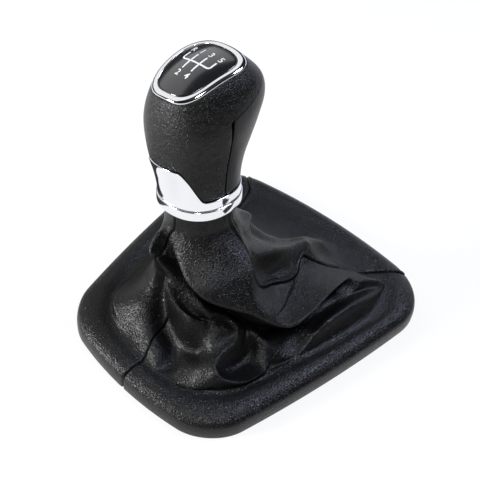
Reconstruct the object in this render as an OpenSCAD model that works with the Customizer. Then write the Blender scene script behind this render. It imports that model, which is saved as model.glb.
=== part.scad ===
// Gear shift knob for a five-speed gearbox, with its bright collar, its leather gaiter and the
// gaiter's plastic frame. Millimetres, +Z up, +Y towards the front of the car, +X to the right.
// The origin is at the bottom centre of the gaiter frame. The lever leans to the left, as it
// does when the set lies on a table.

/* [Lever] */
// Sideways place of the ring at the collar's bottom
knob_x = -17; // [-19:0.5:-14]
// Fore and aft place of the ring at the collar's bottom
knob_y = -15; // [-17:0.5:-12]
// Height of the ring at the collar's bottom
knob_z = 67; // [64:0.5:72]
// Lean of the lever to the left, degrees
lean_left = 6.3; // [4:0.1:8]
// Lean of the lever towards the front, degrees
lean_front = -1; // [-2:0.1:1]
// Turn of the head about the lever, degrees
head_turn = -3.1; // [-5:0.1:0]
// Diameter of the gear lever that the sleeve takes
lever_d = 12; // [10:0.5:13]
// Depth of the lever's seat in the sleeve above the collar's bottom
lever_depth = 40; // [34:1:42]

/* [Knob head] */
// Height between two sections of the head
section_step = 8; // [7.6:0.1:8.4]
// Half width of the head at each section
half_width = [18, 17.6, 18, 19.1, 20.8, 22, 20.9, 17.2, 9.8];
// Reach of the head to the rear at each section
rear_reach = [17.4, 17, 18.1, 19.9, 20.2, 19.4, 17.3, 13.9, 8.8];
// Reach of the head to the front at each section
front_reach = [18.1, 17.9, 18.4, 20.5, 24, 27.8, 29.8, 27.3, 18.7];
// Power of the rounded sections, 2 is an ellipse
section_power = 2.25; // [2:0.05:2.6]
// Wall of the two grip shells
grip_t = 3; // [2.4:0.1:3.4]
// Width of the groove between the two grip shells
groove_w = 0.5; // [0.3:0.1:0.9]
// Share of the head's height at which the front panel's arch begins
arch_start = 0.77; // [0.7:0.01:0.8]
// Share of the head's height at the top of the front panel's arch
arch_top = 0.95; // [0.92:0.01:0.96]

/* [Cap] */
// Tilt of the cap, higher at the front, degrees
cap_tilt = 21; // [17:0.5:25]
// Height of the cap's middle on the head's axis
cap_z = 61.5; // [60:0.5:63]
// Fore and aft place of the cap's middle
cap_y = -1.8; // [-3:0.1:-1]
// Radius of the dome across
dome_r_across = 38; // [34:1:46]
// Radius of the dome along
dome_r_along = 45; // [40:1:56]
// Half length of the bezel's outer edge
bezel_half_l = 17.95; // [17:0.05:18.4]
// Half width of the bezel's outer edge
bezel_half_w = 15.5; // [15:0.05:16]
// How much wider the bezel is at its front end than at its middle, each side
bezel_taper = 2.5; // [1.5:0.1:3]
// Place of the bezel's middle ahead of the cap's middle
bezel_ahead = 1.5; // [1:0.1:2]
// Width of the bright bezel
bezel_w = 2.8; // [2.2:0.1:3.2]
// Height of the bezel's crown above the dome
bezel_crown = 0.9; // [0.5:0.1:1.2]
// Power of the bezel's rounded outline
bezel_power = 3.2; // [2.6:0.1:4]
// Depth of the bezel and of the cap's edge below the dome
cap_t = 1.6; // [1.2:0.1:2]

/* [Collar] */
// Height of the collar round the sides and the front
collar_h = 8.8; // [7.5:0.1:10]
// Height of the tongue at the back
tongue_h = 24.5; // [21:0.5:26]
// Angle from the back at which the tongue's flank begins
tongue_flat = 24; // [20:1:28]
// Angle from the back at which the tongue's flank ends
tongue_foot = 58; // [52:1:64]
// How far the collar stands proud of the head
collar_proud = 0.45; // [0.3:0.05:0.6]
// Height of the lip at the collar's bottom
lip_h = 4.4; // [4:0.1:4.8]
// Wall of the lip
lip_t = 1.3; // [1.1:0.1:1.5]

/* [Gaiter frame] */
// Length of the gaiter between its virtual corners
gaiter_l = 140; // [136:1:144]
// Width of the gaiter at its rear corners
gaiter_rear_w = 97.7; // [95:0.1:101]
// Width of the gaiter at its front corners
gaiter_front_w = 155.9; // [152:0.1:159]
// Bulge of the rear edge
rear_bulge = 6.8; // [5:0.1:9]
// Bulge of the front edge
front_bulge = 9.9; // [8:0.1:12]
// Bulge of each side
side_bulge = 3.4; // [2:0.1:5]
// Length of a rear corner's round
rear_corner = 16; // [13:1:19]
// Length of a front corner's round
front_corner = 27; // [23:1:31]
// Height of the frame
frame_h = 7.6; // [7:0.1:8.4]
// Width of the frame's flange
flange_w = 11.6; // [10:0.1:12]
// Wall of the frame
frame_t = 2; // [1.6:0.1:2.4]
// Distance between two ribs under the flange
rib_gap = 18; // [14:1:24]
// Width of a snap tongue
snap_w = 9; // [7:0.5:12]

/* [Gaiter] */
// Thickness of the leather
leather_t = 1.1; // [0.9:0.1:1.2]
// Outer radius of the leather round the neck
neck_r = 15.6; // [15.2:0.1:15.8]
// Length of the straight neck below the collar
neck_l = 6; // [4:0.5:9]
// Depth of the groove that the tie lies in
tie_groove = 0.8; // [0.6:0.1:1]
// Thickness of the tie
tie_d = 1.1; // [0.8:0.1:1.1]

/* [Hidden] */
$fn = 64;

fit = 0.12;           // clearance between pieces that sit in each other
loose = 0.3;          // clearance round the leather, and between shaped walls
seat_z = 4.8;         // height of the core's bottom on the lever's axis
sleeve_wall = 2.4;
sleeve_bottom = -26;
clamp_t = 0.8;
clamp_w = 8;
ring_wall = 1.8;
ring_lip = 0.6;       // how much further in the gaiter ring's upper end reaches
ring_bottom = -11;
rear_angle = 270;     // direction of the head's back round its axis
head_cols = 36;       // stations round the head
core_gap = 0.55;      // clearance between the core and the inside of the grip shells
deck_inset = 1.9;     // from the cap's outline to the edge of the core's deck
flank_cols = 8;       // stations to each side of the back that the collar and the shell share
flank_step = 8;       // degrees between them

// Rounding helpers
function ease(t) = let (k = min(1, max(0, t))) k * k * (3 - 2 * k);
function mix(a, b, t) = a + (b - a) * t;
function signed_power(v, e) = sign(v) * pow(abs(v), e);

// Value of a list of evenly spaced sections at a height, on a smooth curve through them
function section_at(list, z) =
    let (n = len(list) - 1,
         q = min(n, max(0, z / section_step)),
         i = min(n - 1, floor(q)),
         t = q - i,
         b = list[i],
         c = list[i + 1],
         a = i > 0 ? list[i - 1] : 2 * b - c,
         d = i < n - 1 ? list[i + 2] : 2 * c - b)
    b + t / 2 * (c - a + t * (2 * a - 5 * b + 4 * c - d + t * (3 * (b - c) + d - a)));

// A point of the head round its axis: angle from the right, height, distance added outwards
function head_xy(angle, z, add) =
    let (e = 2 / section_power,
         s = sin(angle),
         a = section_at(half_width, z) + add,
         b = section_at(s < 0 ? rear_reach : front_reach, z) + add)
    [a * signed_power(cos(angle), e), b * signed_power(s, e), z];

// The cap's dome: across, along, lift above the dome
function dome(u, v, lift) =
    let (h = lift - u * u / 2 / dome_r_across - v * v / 2 / dome_r_along)
    [u, cap_y + v * cos(cap_tilt) - h * sin(cap_tilt), cap_z + v * sin(cap_tilt) + h * cos(cap_tilt)];

// A point inside the bezel's outline: angle, distance in from the outer edge, lift, share of the way out
function on_cap(angle, inset, lift, share = 1) =
    let (e = 2 / bezel_power,
         v = (bezel_half_l - inset) * signed_power(sin(angle), e),
         w = bezel_half_w - inset + bezel_taper * v / bezel_half_l)
    dome(share * w * signed_power(cos(angle), e), bezel_ahead + share * v, lift);

// The head's wall from the collar (share 0) to the cap (share 1), or a surface within it
function wall_point(angle, share, add, inset, lift) =
    let (top = on_cap(angle, 0, 0).z,
         low = head_xy(angle, share * top, add),
         high = head_xy(angle, top, add),
         edge = on_cap(angle, inset, lift),
         k = ease((share - 0.6) / 0.4))
    [low.x + k * (edge.x - high.x), low.y + k * (edge.y - high.y), low.z + k * (edge.z - top)];
function wall_out(angle, share) = wall_point(angle, share, 0, 0, 0);
function wall_in(angle, share) = wall_point(angle, share, -grip_t, 1.2, -2 * cap_t);
function wall_core(angle, share) =
    wall_point(angle, share, -grip_t - core_gap, 1.2 + core_gap, -2 * cap_t - core_gap);
function share_at(angle, z) = z / on_cap(angle, 0, 0).z;

// Height of the collar's top edge at an angle round the head
function collar_top(angle) =
    let (away = abs((angle - rear_angle + 540) % 360 - 180))
    mix(tongue_h, collar_h, ease((away - tongue_flat) / (tongue_foot - tongue_flat)));

// Half angle that the front panel spans at a share of the head's height
function arch(share) =
    90 * pow(max(0, 1 - max(0, share - arch_start) / (arch_top - arch_start)), 0.55);

// Puts a shape or a point of the knob where the lever carries it
module on_lever()
    translate([knob_x, knob_y, knob_z])
        rotate([0, -lean_left, 0]) rotate([lean_front, 0, 0]) rotate([0, 0, head_turn]) children();
function turn_z(p, a) = [p.x * cos(a) - p.y * sin(a), p.x * sin(a) + p.y * cos(a), p.z];
function turn_x(p, a) = [p.x, p.y * cos(a) - p.z * sin(a), p.y * sin(a) + p.z * cos(a)];
function turn_y(p, a) = [p.x * cos(a) + p.z * sin(a), p.y, p.z * cos(a) - p.x * sin(a)];
function to_world(p) =
    [knob_x, knob_y, knob_z] + turn_y(turn_x(turn_z(p, head_turn), lean_front), -lean_left);

// Two triangles for the cell between four corners, with the cut from a to c or, turned, from b to d
function cell(a, b, c, d, turned = false) = turned ? [[a, b, d], [b, c, d]] : [[a, b, c], [a, c, d]];
function flip(faces) = [for (f = faces) [f[2], f[1], f[0]]];
function flat(list) = [for (a = list) each a];

// Closed band between an outer and an inner skin, both grids of the same rows and columns, whose
// rows run round. First and last rows are joined from skin to skin.
module band(outer, inner) {
    rows = len(outer);
    cols = len(outer[0]);
    half = rows * cols;
    function at(r, c) = r * cols + c % cols;
    skin = flat([for (r = [0:rows - 2]) for (c = [0:cols - 1])
        cell(at(r, c), at(r + 1, c), at(r + 1, c + 1), at(r, c + 1))]);
    low = flat([for (c = [0:cols - 1]) cell(at(0, c), at(0, c + 1), half + at(0, c + 1), half + at(0, c))]);
    high = flat([for (c = [0:cols - 1])
        cell(at(rows - 1, c), half + at(rows - 1, c), half + at(rows - 1, c + 1), at(rows - 1, c + 1))]);
    polyhedron(concat(flat(outer), flat(inner)),
               concat(skin, [for (f = flip(skin)) [f[0] + half, f[1] + half, f[2] + half]], low, high));
}

// Sheet with four free edges between an outer and an inner skin of the same rows and columns. The
// cells of the first columns, up to `turned`, are cut the other way.
module sheet(outer, inner, turned = 0) {
    rows = len(outer);
    cols = len(outer[0]);
    half = rows * cols;
    function at(r, c) = r * cols + c;
    skin = flat([for (r = [0:rows - 2]) for (c = [0:cols - 2])
        cell(at(r, c), at(r + 1, c), at(r + 1, c + 1), at(r, c + 1), c < turned)]);
    rim = concat([for (c = [0:cols - 1]) at(0, c)],
                 [for (r = [1:rows - 1]) at(r, cols - 1)],
                 [for (c = [cols - 2:-1:0]) at(rows - 1, c)],
                 [for (r = [rows - 2:-1:1]) at(r, 0)]);
    n = len(rim);
    edge = flat([for (k = [0:n - 1]) cell(rim[k], rim[(k + 1) % n], rim[(k + 1) % n] + half, rim[k] + half)]);
    polyhedron(concat(flat(outer), flat(inner)),
               concat(skin, [for (f = flip(skin)) [f[0] + half, f[1] + half, f[2] + half]], edge));
}

// Solid through closed rings, from the lowest up, with a fan to the middle at each end
module loft(rings) {
    cols = len(rings[0]);
    top = len(rings) - 1;
    n = (top + 1) * cols;
    function at(r, c) = r * cols + c % cols;
    function middle(ring) = [for (p = ring) 1 / len(ring)] * ring;
    side = flat([for (r = [0:top - 1]) for (c = [0:cols - 1])
        cell(at(r, c), at(r + 1, c), at(r + 1, c + 1), at(r, c + 1))]);
    ends = flat([for (c = [0:cols - 1])
        [[at(0, c), at(0, c + 1), n], [at(top, c), n + 1, at(top, c + 1)]]]);
    polyhedron(concat(flat(rings), [middle(rings[0]), middle(rings[top])]), concat(side, ends));
}

// Outline of the gaiter at a distance in from its edge, as evenly spread stations that start at
// the middle of the rear edge and run to the right. Sides are shallow arcs and corners are rounds.
rear_steps = 7;
corner_steps = 5;
side_steps = 17;
front_corner_steps = 6;
front_steps = 18;
function side_point(a, b, bulge, t) =
    let (d = b - a) a + d * t + 4 * bulge * t * (1 - t) * [d.y, -d.x] / norm(d);
function round_point(a, corner, b, t) =
    let (k = 0.58, p = a + (corner - a) * k, q = b + (corner - b) * k, s = 1 - t)
    s * s * s * a + 3 * s * s * t * p + 3 * s * t * t * q + t * t * t * b;
function steps(a, b, n) = [for (i = [0:n - 1]) a + (b - a) * i / n];
function outline(inset) =
    let (rx = gaiter_rear_w / 2 - inset,
         fx = gaiter_front_w / 2 - inset,
         ry = -gaiter_l / 2 - inset_shift + inset,
         fy = gaiter_l / 2 - inset_shift - inset,
         rl = [-rx, ry], rr = [rx, ry], fr = [fx, fy], fl = [-fx, fy],
         side_l = norm(fr - rr),
         kr = rear_corner / (2 * rx), ks = rear_corner / side_l,
         kt = front_corner / side_l, kf = front_corner / (2 * fx),
         rear_end = side_point(rl, rr, rear_bulge, 1 - kr),
         right_start = side_point(rr, fr, side_bulge, ks),
         right_end = side_point(rr, fr, side_bulge, 1 - kt),
         front_start = side_point(fr, fl, front_bulge, kf),
         half = concat(
             [for (t = steps(0.5, 1 - kr, rear_steps)) side_point(rl, rr, rear_bulge, t)],
             [for (t = steps(0, 1, corner_steps)) round_point(rear_end, rr, right_start, t)],
             [for (t = steps(ks, 1 - kt, side_steps)) side_point(rr, fr, side_bulge, t)],
             [for (t = steps(0, 1, front_corner_steps)) round_point(right_end, fr, front_start, t)],
             [for (t = steps(kf, 0.5, front_steps / 2)) side_point(fr, fl, front_bulge, t)]),
         n = len(half))
    concat(half,
           [side_point(fr, fl, front_bulge, 0.5)],
           [for (i = [n - 1:-1:1]) [-half[i].x, half[i].y]]);
inset_shift = (front_bulge - rear_bulge) / 2;   // keeps the origin at the middle of the length
stations = 2 * (rear_steps + corner_steps + side_steps + front_corner_steps + front_steps / 2);
seam_station = rear_steps + corner_steps + side_steps + front_corner_steps - 1;

// Gaiter: rows of the leather over the frame, as distance in from the edge and height
frame_rows = [[0, loose], [0.2, 4.4], [1, frame_h - 0.2], [3.2, frame_h + 1.5],
              [7.5, frame_h + 2.5], [flange_w + 0.6, frame_h + 1.6]];
skirt_rows = 13;
// Rows of the neck, as height on the lever's axis and radius
neck_rows = [[-neck_l / 2, neck_r], [-0.6, neck_r], [1.2, neck_r - 0.2],
             [2.3, neck_r - tie_groove], [3.4, neck_r - tie_groove * 0.7]];
// Folds of the leather, the later ones over the earlier ones. Each has its width, how sharp it is
// (1 a crease, 2 a soft wave), from where its leather comes (how far in and how far up from the
// fold) and a path of points, right, front and up, that the leather is drawn to.
folds = [
    // pillow at the rear left, pad under the fold that turns back on itself, valley inside the rim
    [11, 2, [0, 0], [[-34, -55, 13], [-24, -52, 18], [-12, -51, 21], [0, -53, 20], [7, -57, 15]]],
    [6.5, 1.8, [0, 0], [[18, -34, 19], [19, -42, 20], [22, -51, 17], [29, -57, 15], [40, -54, 14], [48, -46, 13],
                        [52, -34, 12], [54, -22, 10]]],
    [4, 1.8, [0, 0], [[11, -70, 9], [20, -68, 9], [28, -65, 8], [35, -61, 8], [42, -56, 8], [46, -47, 8], [50, -35, 8],
                      [53, -25, 8], [54, -10, 9]]],
    // second fold round the left of the neck, and the hollows outside it
    [6, 1.5, [0, -12], [[-21, -39, 60], [-20, -46, 53], [-17, -48, 47], [-11, -48, 42], [-6, -48, 37], [-1, -48, 34],
                        [5, -46, 31], [11, -43, 28], [12, -37, 25]]],
    [5.5, 2, [0, 0], [[-17, -35, 29], [-15, -39, 22], [-10, -43, 17], [-5, -47, 13], [1, -49, 12], [7, -50, 11],
                      [15, -47, 10]]],
    [4.5, 1.6, [0, 0], [[-4, -46, 13], [4, -50, 9], [10, -56, 7], [14, -62, 9]]],
    // bowl of the pocket at the right
    [9, 2, [14, 0], [[28, -12, 23], [36, -3, 19], [38, 12, 19], [39, 30, 16], [40, 45, 13]]],
    // flap under the collar, the crease on its right, the lip round the pocket, its lower edge
    [12, 2, [0, 6], [[-3, -22, 64], [4, -30, 50], [11, -35, 42], [19, -31, 35]]],
    [7, 1.3, [4, 4], [[2, -4, 59], [10, -9, 56], [16, -13, 52], [24, -19, 44], [33, -24, 34], [37, -23, 29]]],
    [5.5, 1.3, [16, 0], [[36, -27, 30], [44, -21, 27], [46, -13, 26], [46, -5, 26], [45, 7, 25], [44, 20, 24],
                         [44, 35, 20], [48, 46, 16], [53, 54, 13], [58, 57, 10]]],
    [6.5, 1.4, [10, 6], [[-19, -32, 60], [-11, -38, 50], [-3, -43, 45], [5, -44, 41], [16, -40, 37], [25, -35, 34],
                         [36, -27, 30]]],
    // deep valley under the flap's edge and under the lip
    [4.5, 2, [0, 0], [[-12, -32, 44], [-9, -31, 41], [-4, -31, 36], [3, -29, 30], [8, -27, 25], [19, -23, 17],
                      [28, -18, 12], [31, -11, 12], [31, -5, 12]]],
    [4, 2, [0, 0], [[32, 4, 14], [33, 14, 14], [35, 26, 12]]],
    // pit, the fold that turns back on itself, the leaf shaped fold
    [6, 1.8, [0, 0], [[26, -25, 11], [32, -28, 8], [33, -36, 7], [33, -43, 8]]],
    [4, 1.2, [0, 2], [[13, -33, 24], [16, -30, 23], [22, -28, 22], [26, -30, 21], [28, -35, 20], [27, -42, 19],
                      [28, -49, 19], [32, -52, 19], [38, -52, 19], [46, -48, 18], [48, -44, 17], [49, -35, 16],
                      [50, -28, 14], [54, -22, 10]]],
    [5, 1.5, [0, 0], [[30, -24, 19], [37, -23, 17], [42, -24, 14], [46, -30, 10]]],
    // valley inside the rim at the right, and the ridge beside it
    [4.5, 1.8, [0, 0], [[46, -26, 8], [51, -14, 8], [52, -2, 8], [53, 12, 8], [55, 26, 9]]],
    [6, 1.8, [0, 0], [[51, -11, 11], [50, 2, 18], [52, 18, 19], [54, 32, 17], [57, 46, 13], [61, 53, 10]]],
    // ridges and a hollow at the front
    [7, 1.5, [0, 3], [[-6, 5, 56], [-3, 13, 49], [5, 24, 39], [11, 37, 27], [14, 49, 18]]],
    [6, 1.8, [0, 0], [[-2, 4, 42], [4, 14, 30], [10, 24, 22]]],
    [6, 1.6, [0, 0], [[12, -5, 43], [13, 14, 36], [14, 34, 28]]],
];
// Seams drift round the leather on their way up: where they stand at the rim, how many stations
// they drift by the neck, and between which shares of the way
slips = [[0, -5, 0.5, 0.8], [seam_station, -6, 0.35, 0.6], [stations - seam_station, 6, 0.35, 0.6],
         [stations, -5, 0.5, 0.8]];
slip_spread = 9;
foot_spread = 24;   // how far round its nearest point a foot is averaged, in square millimetres
calm = 0.5;         // how far the folded rows are evened out

// The leather without folds, between a point of the frame's rim and one of the neck
function plain(a, b, s) =
    let (q = 1 - s,
         run = 1.26 * q * q * s + 2.8 * q * s * s + s * s * s,
         rise = q * q * q * a.z + 27 * q * q * s + 60 * q * s * s + s * s * s * b.z)
    [mix(a.x, b.x, run), mix(a.y, b.y, run), rise];
// Where the leather of a fold is sought, for a point of its path
function sought(c, from) =
    let (r = [c.x - knob_x, c.y - knob_y])
    [c.x - r.x / norm(r) * from[0], c.y - r.y / norm(r) * from[0], c.z + from[1]];
// Foot of a point: the points of the plain leather near its nearest one, averaged
function foot(p, list) =
    let (far = [for (q = list) (q - p) * (q - p)],
         least = min(far),
         weights = [for (f = far) exp((least - f) / foot_spread)])
    weights * list / ([for (f = far) 1] * weights);
// A chain of points with its corners cut at a quarter and three quarters of each stretch
function rounded(list) =
    let (n = len(list) - 1)
    concat([list[0]],
           [for (i = [0:n - 1], k = [0.25, 0.75]) mix(list[i], list[i + 1], k)],
           [list[n]]);
// Feet of one fold and the pulls from them to its path
function rooted(fold, list) =
    let (feet = [for (c = fold[3]) foot(sought(c, fold[2]), list)])
    [rounded(feet), rounded(fold[3] - feet)];
// Distance from p to a stretch between two feet, and the pull there
function near_stretch(p, a, b, pull_a, pull_b) =
    let (ab = b - a, k = min(1, max(0, (p - a) * ab / max(0.01, ab * ab))))
    [norm(p - a - k * ab), mix(pull_a, pull_b, k)];
// q after the folds from number i on, for the point p of the plain leather
function folded(p, q, roots, i = 0) =
    i == len(folds) ? q :
    let (feet = roots[i][0],
         pulls = roots[i][1],
         all = [for (n = [0:len(feet) - 2]) near_stretch(p, feet[n], feet[n + 1], pulls[n], pulls[n + 1])],
         least = min([for (a = all) a[0]]),
         hit = [for (a = all) if (a[0] == least) a][0],
         k = exp(-pow(least / folds[i][0], folds[i][1])))
    folded(p, mix(q, p + hit[1], k), roots, i + 1);

// Station that stands at place i of the row at a share s of the way up
function slipped(i, s) =
    i + [for (k = slips) k[1] * ease((s - k[2]) / (k[3] - k[2])) * exp(-pow((i - k[0]) / slip_spread, 2))]
        * [for (k = slips) 1];
// Point between the stations of a closed row
function at(row, x) =
    let (i = floor(x), n = len(row)) mix(row[(i + n) % n], row[(i + 1 + n) % n], x - i);
// Inner rows of a list, each point drawn part of the way to the mean of its four neighbours
function calmed(rows) =
    [for (r = [1:len(rows) - 2]) [for (c = [0:stations - 1])
        mix(rows[r][c], (rows[r - 1][c] + rows[r + 1][c] + rows[r][(c + 1) % stations]
                         + rows[r][(c + stations - 1) % stations]) / 4, calm)]];
// Outer skin of the whole gaiter, row by row from the frame's foot to the neck
function gaiter_skin() =
    let (rims = [for (r = frame_rows) [for (p = outline(r[0])) [p.x, p.y, r[1]]]],
         last = rims[len(rims) - 1],
         middle = to_world([0, 0, -neck_l]),
         turn = [for (p = last) atan2(p.y - middle.y, p.x - middle.x) - head_turn],
         necks = [for (r = concat([[-neck_l, neck_r]], neck_rows))
             [for (a = turn) to_world([r[1] * cos(a), r[1] * sin(a), r[0]])]],
         necks_slipped = [for (row = necks) [for (i = [0:stations - 1]) at(row, slipped(i, 1))]],
         shares = [for (j = [1:skirt_rows]) j / (skirt_rows + 1)],
         skirt = [for (s = shares) [for (i = [0:stations - 1]) plain(last[i], necks[0][i], s)]],
         points = flat(skirt),
         roots = [for (f = folds) rooted(f, points)],
         drawn = [for (j = [0:skirt_rows - 1])
             let (free = ease(shares[j] / 0.14) * (1 - ease((shares[j] - 0.84) / 0.16)))
             [for (i = [0:stations - 1])
                 let (x = slipped(i, shares[j]), p = plain(at(last, x), at(necks[0], x), shares[j]))
                 mix(p, folded(p, p, roots), free)]])
    concat(rims, calmed(concat([last], drawn, [necks_slipped[0]])), necks_slipped);

// The same skin one leather's thickness further in
function inner_skin(skin) =
    let (top = len(skin) - 1)
    [for (r = [0:top]) [for (c = [0:stations - 1])
        let (along = skin[r][(c + 1) % stations] - skin[r][(c + stations - 1) % stations],
             up = skin[min(top, r + 1)][c] - skin[max(0, r - 1)][c],
             n = cross(along, up))
        skin[r][c] - leather_t * n / norm(n)]];

// One panel of the gaiter between two stations
module gaiter_panel(from, to) {
    outer = gaiter_skin();
    inner = inner_skin(outer);
    sheet([for (row = outer) [for (c = [from:to]) row[c % stations]]],
          [for (row = inner) [for (c = [from:to]) row[c % stations]]]);
}
module gaiter_right_panel() color([0.06, 0.06, 0.065]) gaiter_panel(0, seam_station);
module gaiter_front_panel() color([0.07, 0.07, 0.075]) gaiter_panel(seam_station, stations - seam_station);
module gaiter_left_panel() color([0.05, 0.05, 0.055]) gaiter_panel(stations - seam_station, stations);

// Frame: a channel that is open below, with ribs across it and snap tongues on its inner wall
frame_edge = leather_t + loose + 0.2;   // from the gaiter's outer edge to the frame
frame_inner = flange_w + frame_t;       // from the gaiter's outer edge to the frame's opening
snap_stations = [for (k = [3, 16, 25, 38]) each [k, stations - k]];
module frame_ring(outer_inset, inner_inset, height) {
    linear_extrude(height) difference() {
        polygon(outline(outer_inset));
        polygon(outline(inner_inset));
    }
}
// Puts a shape on the frame's inner wall, with X along it and Y into the opening
module on_inner_wall(station) {
    ring = outline(frame_inner);
    along = ring[station + 1] - ring[station - 1];
    translate(ring[station]) rotate(atan2(along.y, along.x)) children();
}
module frame_ribs() {
    across = floor(gaiter_l / 2 / rib_gap);
    along = floor(gaiter_rear_w / 2 / rib_gap);
    intersection() {
        translate([0, 0, 2]) frame_ring(frame_edge + 1.3, frame_inner - 0.5, frame_h - 2.5);
        union() {
            for (k = [-across:across])
                translate([0, k * rib_gap, frame_h / 2]) cube([2 * gaiter_front_w, 1.2, frame_h], center = true);
            for (k = [-along:along])
                translate([k * rib_gap, 0, frame_h / 2]) cube([1.2, 2 * gaiter_l, frame_h], center = true);
        }
    }
}
module gaiter_frame() color([0.12, 0.12, 0.12]) {
    shoulder = frame_h - frame_t - 1;
    difference() {
        union() {
            frame_ring(frame_edge, frame_edge + frame_t, shoulder);
            translate([0, 0, shoulder]) frame_ring(frame_edge + 0.8, frame_edge + 0.8 + frame_t, 1.4);
            translate([0, 0, frame_h - frame_t]) frame_ring(frame_edge + 2, frame_inner, frame_t);
            frame_ring(frame_inner - frame_t, frame_inner, frame_h);
            frame_ribs();
            for (k = snap_stations) on_inner_wall(k)
                rotate([90, 0, 90]) translate([0, 0, -snap_w / 2]) linear_extrude(snap_w)
                    polygon([[-0.5, 0.6], [0.4, 0.6], [1.8, 2.4], [1.8, 3], [0, 4.4], [-0.5, 4.4]]);
        }
        for (k = snap_stations, x = [-1, 1]) on_inner_wall(k)
            translate([x * (snap_w / 2 + 0.5), -frame_t / 2, 1])
                cube([1, frame_t + 1, frame_h - frame_t - 0.6 + 2], center = true);
    }
}

// Ring in the gaiter's top, with the groove that the tie draws the leather into
ring_out = neck_r - leather_t - loose;
module gaiter_ring() color([0.15, 0.15, 0.15]) on_lever() rotate_extrude() polygon([
    [ring_out - ring_wall, ring_bottom], [ring_out, ring_bottom], [ring_out, 0.8],
    [ring_out - tie_groove, 1.6], [ring_out - tie_groove, seat_z - 1.2], [ring_out - 0.3, seat_z - fit],
    [ring_out - ring_wall - ring_lip, seat_z - fit], [ring_out - ring_wall - ring_lip, 0]]);
module gaiter_tie() color([0.2, 0.2, 0.2]) on_lever()
    translate([0, 0, 2.4]) rotate_extrude()
        translate([neck_r - tie_groove + loose + tie_d / 2, 0]) circle(d = tie_d, $fn = 24);

// Bright collar: a lip round the bottom, a groove, and the tongue at the back
module collar() {
    lip = collar_proud + 0.35;
    bore = collar_proud - lip_t;
    function outer_row(angle) = let (top = collar_top(angle), low = lip_h + 0.3) [
        [0, lip - 0.3], [0.6, lip], [lip_h - 0.6, lip], [lip_h - 0.1, collar_proud - 0.25],
        [low, collar_proud], [mix(low, top, 0.4), collar_proud], [mix(low, top, 0.7), collar_proud],
        [top - 0.6, collar_proud], [top, collar_proud - 0.35]];
    function inner_row(angle) = let (top = collar_top(angle), low = seat_z) [
        [0, bore], [0.6, bore], [lip_h - 0.6, bore], [low - 0.02, bore], [low, -grip_t],
        [mix(low, top, 0.4), -grip_t], [mix(low, top, 0.7), -grip_t], [top - 0.6, -grip_t],
        [top, -grip_t]];
    foot = flank_cols * flank_step;
    rest = head_cols - 2 * flank_cols;
    angles = concat([for (n = [-flank_cols:flank_cols]) rear_angle + n * flank_step],
                    [for (n = [1:rest - 1]) rear_angle + foot + n * (360 - 2 * foot) / rest]);
    color([0.82, 0.84, 0.86]) on_lever()
        band([for (r = [0:8]) [for (a = angles) let (q = outer_row(a)[r]) head_xy(a, q[0], q[1])]],
             [for (r = [0:8]) [for (a = angles) let (q = inner_row(a)[r]) head_xy(a, q[0], q[1])]]);
}

// Rows of the grip shells: the lower ones fan out from the collar's edge, the others are level
belt = 0.56;
groove_angle = groove_w / 2 / 20 * 180 / PI;
function low_share(angle, t) = mix(share_at(angle, collar_top(angle) + loose), belt, t);
arch_rows = [for (k = [0, 0.22, 0.42, 0.6, 0.75, 0.87, 0.95, 0.985]) mix(arch_start, arch_top, k)];
level_rows = concat([belt, mix(belt, arch_start, 0.5)], arch_rows);
low_steps = [0, 0.33, 0.66];

// Front panel: spans both grooves, and closes in an arch under the cap
module grip_front() {
    spread = [for (u = [-8:8]) u / 8];
    function angles(share) = [for (u = spread) 90 + u * (arch(share) - groove_angle)];
    low = [for (t = low_steps) [for (a = angles(0)) [a, low_share(a, t)]]];
    level = [for (s = level_rows) [for (a = angles(s)) [a, s]]];
    grid = concat(low, level);
    color([0.07, 0.07, 0.075]) on_lever()
        sheet([for (row = grid) [for (q = row) wall_out(q[0], q[1])]],
              [for (row = grid) [for (q = row) wall_in(q[0], q[1])]], 8);
}

// Rear shell: the back and both sides, joined over the front panel's arch and round the cap. The
// columns over the tongue's flanks keep their angle, the others follow the arch.
module grip_rear() {
    side_cols = 15;
    cols = 2 * side_cols;
    over = [arch_top + 0.005, mix(arch_top, 1, 0.5), 1];
    function row(share) =
        let (half = arch(share) > 0 ? arch(share) + groove_angle : 0)
        [for (c = [-side_cols:side_cols]) let (n = abs(c))
            rear_angle + sign(c) * (n < flank_cols ? n * flank_step
                : mix(flank_cols * flank_step, 180 - half, (n - flank_cols) / (side_cols - flank_cols)))];
    low = [for (t = low_steps) [for (a = row(0)) [a, low_share(a, t)]]];
    level = [for (s = concat(level_rows, over)) [for (a = row(s)) [a, s]]];
    grid = concat(low, level);
    rows = len(grid);
    open = rows - len(over) - 1;   // last row that the front panel divides
    half = rows * (cols + 1);
    function at(r, c) = r * (cols + 1) + (r > open && c == cols ? 0 : c);
    skin = flat([for (r = [0:rows - 2]) for (c = [0:cols - 1])
        cell(at(r, c), at(r + 1, c), at(r + 1, c + 1), at(r, c + 1), c >= side_cols)]);
    rim = concat([for (c = [0:cols]) at(0, c)], [for (r = [1:open]) at(r, cols)],
                 [at(open + 1, 0)], [for (r = [open:-1:1]) at(r, 0)]);
    n = len(rim);
    edge = flat([for (k = [0:n - 1]) cell(rim[k], rim[(k + 1) % n], rim[(k + 1) % n] + half, rim[k] + half)]);
    high = flat([for (c = [0:cols - 1])
        cell(at(rows - 1, c), half + at(rows - 1, c), half + at(rows - 1, c + 1), at(rows - 1, c + 1))]);
    color([0.05, 0.05, 0.05]) on_lever()
        polyhedron(concat([for (row = grid) for (q = row) wall_out(q[0], q[1])],
                          [for (row = grid) for (q = row) wall_in(q[0], q[1])]),
                   concat(skin, [for (f = flip(skin)) [f[0] + half, f[1] + half, f[2] + half]], edge, high));
}

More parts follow.
